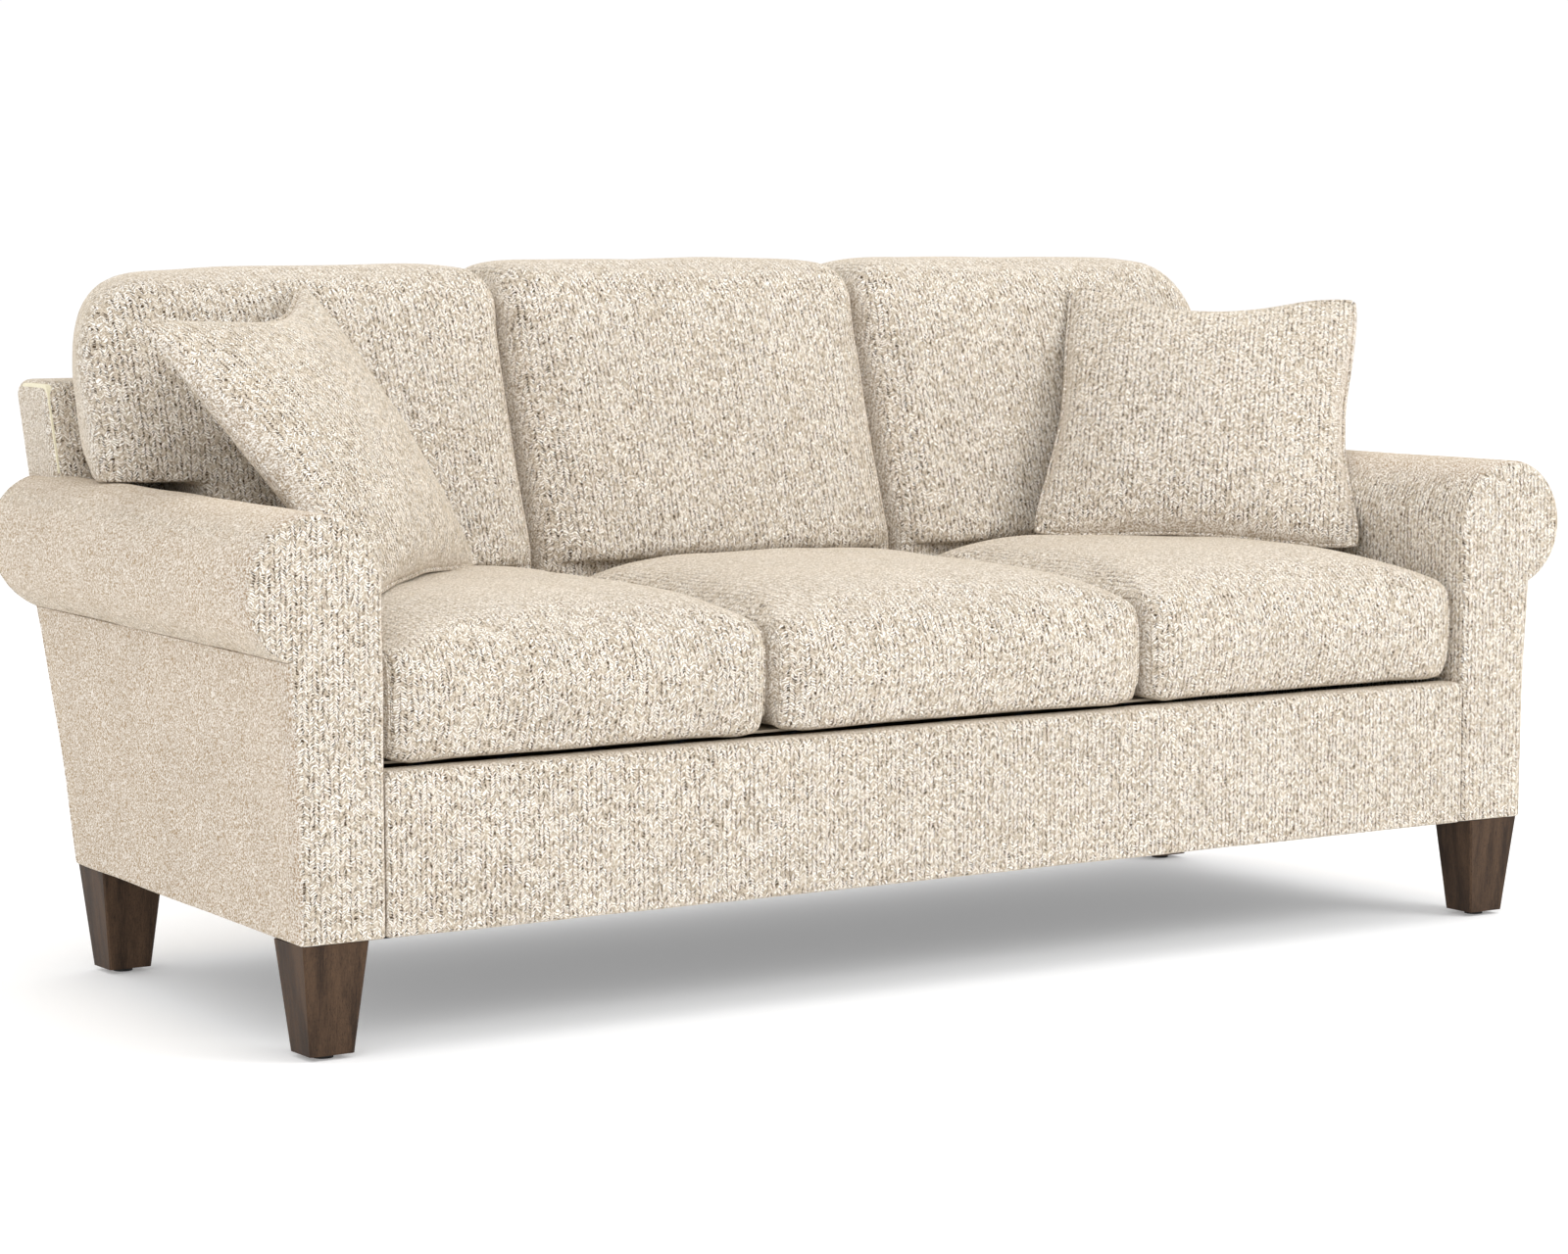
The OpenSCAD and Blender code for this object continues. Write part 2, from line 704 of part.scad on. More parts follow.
// A closed form from rings [share of the outline, level]; shape(p, share, level) gives a point
module soft_form(path, middle, rings, shape) {
    n = len(path);
    count = len(rings);
    body = [for (r = rings) for (p = path)
        shape(middle + (p - middle) * r[0], r[0], r[1])];
    first = shape(middle, 0, rings[0][1]);
    last = shape(middle, 0, rings[count - 1][1]);
    walls = [for (k = [0:1:count - 2]) for (i = [0:1:n - 1])
        let (a = k * n + i, b = k * n + (i + 1) % n)
        each [[a, a + n, b + n], [a, b + n, b]]];
    low = [for (i = [0:1:n - 1]) [n * count, i, (i + 1) % n]];
    high = [for (i = [0:1:n - 1]) let (o = (count - 1) * n) [n * count + 1, o + (i + 1) % n, o + i]];
    polyhedron(concat(body, [first, last]), concat(walls, low, high));
}

// Seat cushions

// Rings of a boxed cushion: flat underside, upright boxing, soft shoulder, crowned top
boxed_rings = [[0.97, 0], [1, 0.10], [1.004, 0.5], [1, 0.82], [0.985, 0.95], [0.95, 1.05],
    [0.87, 1.13], [0.74, 1.16], [0.58, 1.18], [0.40, 1.18], [0.20, 1.18]];

seat_front = seat_setback;
seat_rear = seat_setback + seat_depth;
seat_mid_y = (seat_front + seat_rear) / 2;

// Outline of a seat cushion in plan; k is -1, 0 or 1 from left to right
function seat_corners(k) =
    let (half = middle_half - cushion_gap / 2,
        inner = middle_half + cushion_gap / 2,
        front = k == 0 ? half : inner_half(seat_front) - cushion_gap,
        rear = k == 0 ? half : inner_half(seat_rear) - cushion_gap)
    k == 0 ? [[-half, seat_front, seat_corner], [half, seat_front, seat_corner],
        [half, seat_rear, seat_corner], [-half, seat_rear, seat_corner]]
    : [[inner, seat_front, seat_corner], [front, seat_front, seat_corner],
        [rear, seat_rear, seat_corner], [inner, seat_rear, seat_corner]];

module seat_cushion(k) {
    corners = seat_corners(k);
    middle = [(corners[0][0] + corners[2][0]) / 2, seat_mid_y];
    half_w = (corners[1][0] - corners[0][0]) / 2;
    draw = 5;
    color(FABRIC) placed() side(k < 0 ? -1 : 1) difference() {
        soft_form(outline(corners, 4, 5), middle, boxed_rings, function (p, share, level)
            let (u = (p[0] - middle[0]) / half_w, v = (p[1] - seat_mid_y) / (seat_depth / 2),
                dome = max(0, 1 - pow(abs(u), 4)) * max(0, 1 - pow(abs(v), 4)),
                lift = level < 0.85 ? 0 : min(1, (level - 0.85) / 0.2),
                pull = draw * max(0, 1 - level) * share)
            [p[0] - sign(u) * pull * max(0, 1 - v * v) * abs(u),
                p[1] - (v > 0 ? pull * (1 - min(1, u * u)) * v : 0),
                deck_z + soft_gap + seat_edge_h * min(level, 1)
                    + (seat_shoulder - 12) * max(0, level - 1) + seat_crown * dome * lift]);
        seat_core_block(k, 0);
    }
}
module left_seat_cushion() { seat_cushion(-1); }
module middle_seat_cushion() { seat_cushion(0); }
module right_seat_cushion() { seat_cushion(1); }

// The foam slab inside a seat cushion, smaller all round by a clearance
core_wrap = 28;
module seat_core_block(k, clear) {
    corners = seat_corners(k);
    low = core_wrap / 2;
    translate([0, 0, deck_z + low + clear]) linear_extrude(seat_edge_h - 2 * low - 2 * clear)
        polygon([
            [corners[0][0] + core_wrap + clear, seat_front + core_wrap + clear],
            [corners[2][0] - core_wrap - clear, seat_front + core_wrap + clear],
            [corners[2][0] - core_wrap - clear, seat_rear - core_wrap - clear],
            [corners[0][0] + core_wrap + clear, seat_rear - core_wrap - clear],
        ]);
}
module seat_core(k) {
    color(FOAM) placed() side(k < 0 ? -1 : 1) seat_core_block(k, fit);
}
module left_seat_core() { seat_core(-1); }
module middle_seat_core() { seat_core(0); }
module right_seat_core() { seat_core(1); }

// Back cushions

back_foot_z = deck_z + soft_gap;
cushion_rise = back_cushion_top - back_foot_z;
wing_z = arm_top + 1.5 - back_foot_z;

// Outline of a back cushion from the front: width and height above its foot
function back_corners(k) =
    let (half = middle_half - cushion_gap / 2, inner = half + cushion_gap, small = 36,
        low = inner_half(rear_y(arm_top)) - cushion_gap)
    k == 0 ? [[-half, 0, small], [half, 0, small], [half, cushion_rise, small],
        [-half, cushion_rise, small]]
    : [[inner, 0, small], [low, 0, small], [low, wing_z, 10],
        [back_cushion_half, wing_z, 26], [back_cushion_half, cushion_rise, back_cushion_corner],
        [inner, cushion_rise, small]];

// Rings of a back cushion from its flat rear to its crowned face
back_rings = [[0.92, 0], [0.97, 0.03], [0.99, 0.12], [1, 0.35], [1.001, 0.76], [0.99, 0.93],
    [0.96, 1.02], [0.88, 1.075], [0.72, 1.09], [0.50, 1.10], [0.25, 1.10]];

// Below this height a back cushion's face lies flat against the seat cushion
seat_contact_z = deck_z + seat_edge_h + 42;

// Level thickness of a back cushion's edge at height v above its foot
function back_edge(v) = let (t = min(1, max(0, v / 175)))
    back_foot_t + (back_edge_t - back_foot_t) * t * t * (3 - 2 * t);

// How far an outer cushion's side draws in at a share of its width and a depth from its rear
function back_flare(share, w) =
    back_cushion_flare * pow(max(0, share), 2) * max(0, 1 - w / (back_edge_t * 0.76));

module back_cushion(k) {
    corners = back_corners(k);
    x0 = corners[0][0];
    x1 = k == 0 ? corners[1][0] : back_cushion_half;
    middle = [k == 0 ? 0 : (x0 + corners[1][0]) / 2, cushion_rise * 0.52];
    color(FABRIC) placed() side(k < 0 ? -1 : 1) difference() {
        soft_form(outline(corners, 4, 4), middle, back_rings, function (p, share, level)
            let (u = (p[0] - (x0 + x1) / 2) / ((x1 - x0) / 2), v = 2 * p[1] / cushion_rise - 1,
                dome = max(0, 1 - pow(abs(u), 3)) * max(0, 1 - pow(abs(v), 3)),
                lift = level < 0.9 ? 0 : min(1, (level - 0.9) / 0.15),
                w = soft_gap * 1.2 + back_edge(p[1]) * min(level, 1.10)
                    + (back_crown - 15) * dome * lift,
                z = back_foot_z + max(0, p[1]), face = front_y(z) - w)
            [p[0] - (k == 0 ? 0 : back_flare((p[0] - middle[0]) / (x1 - middle[0]), w)),
                z < seat_contact_z ? max(face, seat_rear + cushion_gap) : face, z]);
        back_core_block(k, 0);
    }
}
module left_back_cushion() { back_cushion(-1); }
module middle_back_cushion() { back_cushion(0); }
module right_back_cushion() { back_cushion(1); }

// The foam slab inside a back cushion, this far from the cushion's face and rear
core_cover = 24;
module back_core_block(k, clear) {
    corners = back_corners(k);
    c = core_wrap + 6 + clear;
    z0 = back_foot_z + c;
    z1 = back_foot_z + cushion_rise - c - 20;
    near = core_cover + clear;
    far = back_foot_t - core_cover - clear;
    across(corners[0][0] + c, corners[1][0] - c) polygon([
        [front_y(z0) - far, z0], [front_y(z0) - near, z0],
        [front_y(z1) - near, z1], [front_y(z1) - far, z1],
    ]);
}
module back_core(k) {
    color(FOAM) placed() side(k < 0 ? -1 : 1) back_core_block(k, fit);
}
module left_back_core() { back_core(-1); }
module middle_back_core() { back_core(0); }
module right_back_core() { back_core(1); }

// Throw pillows

// Centres of the left and right pillows, from the arm's inner face and the seat's rear
pillow_from_arm = [166, 117];
pillow_from_rear = [145.4, 155];
pillow_turn = 40;
pillow_tilt = 37;
// Each pillow's lower edge rests this far below the crown of the seat
pillow_sink = [1.4, 4.6];
pillow_rise = deck_z + seat_edge_h + seat_crown + pillow_side / 2 * cos(pillow_tilt);
pillow_twist = 2.5;
pillow_rings = [[0.3, -1], [0.55, -1], [0.75, -1], [0.9, -1], [0.97, -1], [1, -1], [1, 1],
    [0.97, 1], [0.9, 1], [0.75, 1], [0.55, 1], [0.3, 1]];

module throw_pillow(s) {
    which = s < 0 ? 0 : 1;
    half = pillow_side / 2;
    corner = 14;
    seam_t = 2.5;
    corners = [[-half, -half, corner], [half, -half, corner], [half, half, corner],
        [-half, half, corner]];
    place = [inner_x - pillow_from_arm[which], seat_rear - pillow_from_rear[which],
        pillow_rise - pillow_sink[which]];
    color(FABRIC) placed() side(s)
        translate(place)
            rotate([0, 0, -pillow_turn]) rotate([90 - pillow_tilt, 0, 0]) rotate([0, 0, -pillow_twist])
                soft_form(outline(corners, 3, 6), [0, 0], pillow_rings, function (p, share, level)
                    let (u = p[0] / half, v = p[1] / half,
                        swell = max(0, 1 - u * u) * max(0, 1 - v * v))
                    [p[0] - sign(u) * pillow_draw * max(0, 1 - v * v) * abs(u) * share,
                        p[1] - sign(v) * pillow_draw * max(0, 1 - u * u) * abs(v) * share,
                        level * (seam_t + (pillow_t / 2 - seam_t) * pow(swell, 0.5)
                            * (level < 0 ? pillow_lean_share : 1))]);
}
module left_throw_pillow() { throw_pillow(-1); }
module right_throw_pillow() { throw_pillow(1); }

front_rail();
rear_rail();
seat_stretchers();
corner_blocks();
left_base_board();
right_base_board();
left_arm_front_post();
right_arm_front_post();
left_arm_rear_post();
right_arm_rear_post();
left_arm_top_rail();
right_arm_top_rail();
back_posts();
back_top_rail();
back_lower_rail();
seat_springs();
spring_clips();
spring_tie_wires();
back_webbing();
deck_cover();
front_rail_cover();
left_arm_padding();
right_arm_padding();
left_arm_cover();
right_arm_cover();
left_arm_front_facing();
right_arm_front_facing();
left_arm_rear_facing();
right_arm_rear_facing();
back_padding();
inside_back_cover();
outside_back_cover();
dust_cover();
left_front_leg();
right_front_leg();
left_rear_leg();
right_rear_leg();
leg_plates();
leg_bolts();
leg_glides();
left_seat_cushion();
middle_seat_cushion();
right_seat_cushion();
left_seat_core();
middle_seat_core();
right_seat_core();
left_back_cushion();
middle_back_cushion();
right_back_cushion();
left_back_core();
middle_back_core();
right_back_core();
left_throw_pillow();
right_throw_pillow();
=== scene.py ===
"""The looks of a three-seat sofa with rolled arms: chevron cloth, plump cushions, stained legs."""

import math

import bmesh
import bpy
from mathutils import Matrix, Vector, noise
from mathutils.bvhtree import BVHTree


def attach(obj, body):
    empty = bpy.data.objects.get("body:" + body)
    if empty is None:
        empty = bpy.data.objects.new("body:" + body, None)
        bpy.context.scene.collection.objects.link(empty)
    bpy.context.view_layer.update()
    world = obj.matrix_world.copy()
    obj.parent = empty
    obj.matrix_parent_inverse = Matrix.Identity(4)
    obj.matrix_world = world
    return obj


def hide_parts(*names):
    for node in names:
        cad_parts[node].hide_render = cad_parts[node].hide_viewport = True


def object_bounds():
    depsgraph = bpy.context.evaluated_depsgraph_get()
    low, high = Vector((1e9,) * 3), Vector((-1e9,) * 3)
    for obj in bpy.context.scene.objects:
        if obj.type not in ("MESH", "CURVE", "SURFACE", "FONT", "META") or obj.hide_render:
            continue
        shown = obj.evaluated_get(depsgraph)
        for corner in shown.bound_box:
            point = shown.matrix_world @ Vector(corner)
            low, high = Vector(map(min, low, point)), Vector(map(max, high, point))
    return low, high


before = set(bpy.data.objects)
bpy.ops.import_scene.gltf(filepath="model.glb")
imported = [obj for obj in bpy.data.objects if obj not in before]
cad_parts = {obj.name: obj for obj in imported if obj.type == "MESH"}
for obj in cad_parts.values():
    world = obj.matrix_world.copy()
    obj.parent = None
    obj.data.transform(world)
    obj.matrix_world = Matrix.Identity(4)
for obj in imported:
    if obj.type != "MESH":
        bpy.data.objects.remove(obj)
cad_low, cad_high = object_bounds()

# Sizes that the solids were drawn from, in metres
SEAT_WIDTH = 1.676
BASE_DEPTH = 0.728
BASE_BOTTOM = 0.138
ARM_TOP = 0.635
ROLL_RADIUS = 0.088
ARM_WIDTH = 0.111
NECK_FLARE = 0.011
TOE_IN = math.radians(3.5)
BACK_LEAN = math.radians(17)
BACK_TOP = 0.757
BACK_THICK = 0.095
BACK_HALF = 0.893
DECK_TOP = 0.339
MIDDLE_HALF = 0.292
CUSHION_GAP = 0.0024
SOFT_GAP = 0.0004
SEAT_SETBACK = 0.006
SEAT_DEPTH = 0.572
SEAT_EDGE = 0.128
SEAT_CROWN = 0.044
BACK_CUSHION_TOP = 0.903
BACK_EDGE = 0.166
BACK_FOOT = 0.092
BACK_CROWN = 0.033
BACK_CUSHION_HALF = 0.915
BACK_CUSHION_FLARE = 0.062
BACK_CUSHION_CORNER = 0.098
PILLOW_SIDE = 0.436
FIT = 0.0002

# Places that follow from them
FRONT_Y = cad_low.y
INNER_X = SEAT_WIDTH / 2
OUTER_X = INNER_X + ARM_WIDTH
ROLL_X = INNER_X + ROLL_RADIUS
ROLL_Z = ARM_TOP - ROLL_RADIUS
NECK_X = OUTER_X + NECK_FLARE
SEAT_REAR = SEAT_SETBACK + SEAT_DEPTH
FOOT_Z = DECK_TOP + SOFT_GAP


def rear_y(z):
    """Depth of the rear plane behind the arm fronts at a height."""
    return BASE_DEPTH + math.tan(BACK_LEAN) * (z - BASE_BOTTOM)


def front_y(z):
    """Depth of the back frame's front plane at a height."""
    return rear_y(z) - BACK_THICK


def inner_half(y):
    """Half of the width between the arms at a depth."""
    return OUTER_X - ARM_WIDTH / math.cos(TOE_IN) - math.tan(TOE_IN) * y


def smooth_step(low, high, value):
    t = min(1.0, max(0.0, (value - low) / (high - low)))
    return t * t * (3 - 2 * t)


# Meshes

def new_object(name, points, faces):
    mesh = bpy.data.meshes.new(name)
    mesh.from_pydata([tuple(p) for p in points], [], faces)
    mesh.update()
    obj = bpy.data.objects.new(name, mesh)
    bpy.context.scene.collection.objects.link(obj)
    return obj


def tidy_normals(obj, angle=50):
    """Turns all faces outwards and shades them smooth, with creases kept above an angle."""
    work = bmesh.new()
    work.from_mesh(obj.data)
    bmesh.ops.recalc_face_normals(work, faces=work.faces)
    work.to_mesh(obj.data)
    work.free()
    obj.data.shade_smooth()
    obj.data.set_sharp_from_angle(angle=math.radians(angle))


def ring_faces(rings, size, closed=False):
    """Quads between rings of equal size that follow one another in a list of points."""
    count = rings * size
    return [(k * size + i, ((k + 1) * size + i) % count, ((k + 1) * size + (i + 1) % size) % count,
             k * size + (i + 1) % size)
            for k in range(rings if closed else rings - 1) for i in range(size)]


def skin(name, rings):
    """A closed form through rings of points, with a flat face over each end."""
    size = len(rings[0])
    faces = ring_faces(len(rings), size)
    faces.append(tuple(range(size)))
    faces.append(tuple(range(len(rings) * size - 1, (len(rings) - 1) * size - 1, -1)))
    obj = new_object(name, [p for ring in rings for p in ring], faces)
    tidy_normals(obj)
    return obj


def domed(name, rings, first, last):
    """A closed form through rings of points that close on a point at each end."""
    size = len(rings[0])
    count = len(rings) * size
    faces = ring_faces(len(rings), size)
    faces += [(count, (i + 1) % size, i) for i in range(size)]
    faces += [(count + 1, count - size + i, count - size + (i + 1) % size) for i in range(size)]
    obj = new_object(name, [p for ring in rings for p in ring] + [first, last], faces)
    tidy_normals(obj)
    return obj


def through(knots, steps):
    """A smooth row of values through knots, with a number of steps between two of them."""
    row = []
    for k in range(len(knots) - 1):
        before = knots[max(k - 1, 0)]
        a, b = knots[k], knots[k + 1]
        after = knots[min(k + 2, len(knots) - 1)]
        for i in range(steps):
            t = i / steps
            row.append(tuple(
                0.5 * (2 * q + (r - p) * t + (2 * p - 5 * q + 4 * r - s) * t * t
                       + (3 * q - p - 3 * r + s) * t ** 3)
                for p, q, r, s in zip(before, a, b, after)))
    row.append(tuple(knots[-1]))
    return row


def corner_arc(a, p, b, radius, steps):
    """The points of a corner p between a and b, rounded by an arc."""
    u, v = (a - p).normalized(), (b - p).normalized()
    half = u.angle(v) / 2
    centre = p + (u + v).normalized() * radius / math.sin(half)
    start = p + u * radius / math.tan(half) - centre
    end = p + v * radius / math.tan(half) - centre
    turn = start.angle_signed(end)
    return [centre + Matrix.Rotation(-turn * i / steps, 2) @ start for i in range(steps + 1)]


def outline(corners, arc_steps, edge_steps):
    """A closed outline from corners (x, y, radius), with extra points along its edges."""
    spots = [Vector((c[0], c[1])) for c in corners]
    count = len(spots)
    arcs = [corner_arc(spots[i - 1], spots[i], spots[(i + 1) % count], corners[i][2], arc_steps)
            for i in range(count)]
    path = []
    for i in range(count):
        start, end = arcs[i][-1], arcs[(i + 1) % count][0]
        path += arcs[i]
        path += [start.lerp(end, k / edge_steps) for k in range(1, edge_steps)]
    return path


def soft_form(name, path, middle, knots, shape, steps):
    """A cushion's closed form: rings (share of the outline, level) given places by shape."""
    levels = through(knots, steps)
    rings = [[shape(middle + (p - middle) * share, share, level) for p in path]
             for share, level in levels]
    return domed(name, rings, shape(middle, 0, levels[0][1]), shape(middle, 0, levels[-1][1]))


def undulate(obj, amount, size, seed):
    """Moves a skin in and out a little, as cloth over padding does."""
    place = Vector((seed * 3.7, seed * 1.3, seed * 7.1))
    normals = [v.normal.copy() for v in obj.data.vertices]
    for v, n in zip(obj.data.vertices, normals):
        v.co += n * amount * noise.noise(v.co / size + place)
    obj.data.update()


# Distance between the points of a cushion's cloth while it is filled, and how it is filled
CLOTH_STEP = 0.0085
AIR_PRESSURE = 4.0
CLOTH_STIFFNESS = 15
CLOTH_BENDING = 1.5
CLOTH_QUALITY = 5
FILL_FRAMES = 12


def modify(obj, kind, **settings):
    """Applies one modifier, so that what it shows becomes the object's own mesh."""
    modifier = obj.modifiers.new("step", kind)
    for name, value in settings.items():
        setattr(modifier, name, value)
    graph = bpy.context.evaluated_depsgraph_get()
    mesh = bpy.data.meshes.new_from_object(obj.evaluated_get(graph))
    obj.modifiers.clear()
    old = obj.data
    obj.data = mesh
    mesh.name = obj.name
    bpy.data.meshes.remove(old)


def fill_with_air(obj, cap):
    """Lets air pressure fill a cushion: cloth, with each point's way capped."""
    rest = [v.co.copy() for v in obj.data.vertices]
    cloth = obj.modifiers.new("air", "CLOTH")
    cloth.settings.quality = CLOTH_QUALITY
    cloth.settings.tension_stiffness = CLOTH_STIFFNESS
    cloth.settings.compression_stiffness = CLOTH_STIFFNESS
    cloth.settings.bending_stiffness = CLOTH_BENDING
    cloth.settings.use_pressure = True
    cloth.settings.uniform_pressure_force = AIR_PRESSURE
    cloth.settings.effector_weights.gravity = 0
    cloth.point_cache.frame_end = FILL_FRAMES
    scene = bpy.context.scene
    for step in range(1, FILL_FRAMES + 1):
        scene.frame_set(step)
    graph = bpy.context.evaluated_depsgraph_get()
    filled = [v.co.copy() for v in obj.evaluated_get(graph).data.vertices]
    obj.modifiers.clear()
    scene.frame_set(1)
    for v, start, end in zip(obj.data.vertices, rest, filled):
        way = end - start
        if way.length > 1e-9:
            way *= cap * math.tanh(way.length / cap) / way.length
        v.co = start + way
    obj.data.update()


def stuff(obj, cap):
    """Covers a cushion's form with even cloth and fills it."""
    modify(obj, "REMESH", mode="VOXEL", voxel_size=CLOTH_STEP, use_smooth_shade=True)
    modify(obj, "SMOOTH", factor=0.5, iterations=2)
    fill_with_air(obj, cap)
    modify(obj, "SUBSURF", levels=1)


def hold(obj, limit):
    """Keeps each point of a skin where limit allows it."""
    for v in obj.data.vertices:
        v.co = limit(v.co)
    obj.data.update()


# Materials

class Wires:
    """Adds nodes to a tree and joins them."""

    def __init__(self, tree):
        self.tree = tree

    def join(self, value, socket):
        if isinstance(value, bpy.types.NodeSocket):
            self.tree.links.new(value, socket)
        else:
            socket.default_value = value

    def node(self, kind, inputs=None, **settings):
        made = self.tree.nodes.new(kind)
        for name, value in settings.items():
            setattr(made, name, value)
        for name, value in (inputs or {}).items():
            self.join(value, made.inputs[name])
        return made

    def math(self, operation, *values):
        made = self.node("ShaderNodeMath", operation=operation)
        for k, value in enumerate(values):
            self.join(value, made.inputs[k])
        return made.outputs[0]

    def mix(self, share, first, second, blend="MIX"):
        made = self.node("ShaderNodeMix", data_type="RGBA", blend_type=blend)
        for socket, value in ((0, share), (6, first), (7, second)):
            self.join(value, made.inputs[socket])
        return made.outputs[2]

    def choose(self, share, first, second):
        made = self.node("ShaderNodeMix", data_type="FLOAT")
        for socket, value in ((0, share), (2, first), (3, second)):
            self.join(value, made.inputs[socket])
        return made.outputs[0]

    def ramp(self, value, low, high, start=0.0, end=1.0):
        made = self.node("ShaderNodeMapRange", interpolation_type="SMOOTHSTEP")
        for name, number in (("Value", value), ("From Min", low), ("From Max", high),
                             ("To Min", start), ("To Max", end)):
            self.join(number, made.inputs[name])
        return made.outputs["Result"]

    def grain(self, place, scale, detail=2.0, rough=0.5):
        return self.node("ShaderNodeTexNoise", {"Vector": place, "Scale": scale, "Detail": detail,
                                                "Roughness": rough})

    def stretch(self, place, scale):
        return self.node("ShaderNodeVectorMath", {0: place, 1: scale},
                         operation="MULTIPLY").outputs[0]


SOCKETS = {"value": "NodeSocketFloat", "colour": "NodeSocketColor", "place": "NodeSocketVector"}


OUTPUTS = [("Color", "colour"), ("Roughness", "value"), ("Height", "value")]


def new_group(name, inputs):
    """A shader node group with named inputs: its tree, wires, inputs and outputs."""
    tree = bpy.data.node_groups.new(name, "ShaderNodeTree")
    for side, rows in (("INPUT", inputs), ("OUTPUT", OUTPUTS)):
        for label, kind in rows:
            tree.interface.new_socket(name=label, in_out=side, socket_type=SOCKETS[kind])
    wires = Wires(tree)
    return tree, wires, wires.node("NodeGroupInput").outputs, wires.node("NodeGroupOutput").inputs


# Width of a chevron column, distance between its yarns, and their rise over one column
COLUMN = 0.0066
YARN_PITCH = 0.0035
YARN_RISE = 1.55
# Grain of the noise that draws the yarns astray, and its reach across and along them
STRAY_GRAIN = 170.0
STRAY_REACH = (0.0075, 0.0060)
# Where a yarn fades out at its sides and at its ends, and how far it may have slid
YARN_SIDES = (0.32, 0.12)
YARN_ENDS = (0.48, 0.32)
YARN_SLIDE = 0.30
# How many yarns lie low, and how bright those are
YARN_LUCK = (0.10, 0.60, 0.10, 1.0)
# Fine fibres, and how far they darken and lighten the cloth
FUZZ_GRAIN = 420.0
FUZZ_DARK = (0.55, 0.41, 0.0, 0.42)
FUZZ_LIGHT = (0.50, 0.64, 0.0, 0.25)
# Dark gaps between the yarns: their place in a column, narrowness, size, and how many are open
GAP_ASIDE = 0.30
GAP_NARROW = 1.7
GAP_SIZE = (0.46, 0.26)
GAP_LUCK = (0.36, 0.50)
# Painted sheen, a smooth warm colour laid on the cloth by its facing in place of the sheen seen at
# grazing angles: how much it covers, the yarns' and the fibres' share of its light, and its relief
PAINTED_SHEEN_COVER = 0.90
PAINTED_SHEEN_YARN = 0.25
PAINTED_SHEEN_FUZZ = (0.42, 0.60, 0.0, 0.68)
PAINTED_SHEEN_FLAT = 0.6
# Slow changes of shade over the cloth
PATCH_GRAIN = 9.0
PATCH_SHADE = (0.3, 0.7, 0.97, 1.02)
CLOTH_ROUGHNESS = 0.93
YARN_SMOOTHER = 0.12


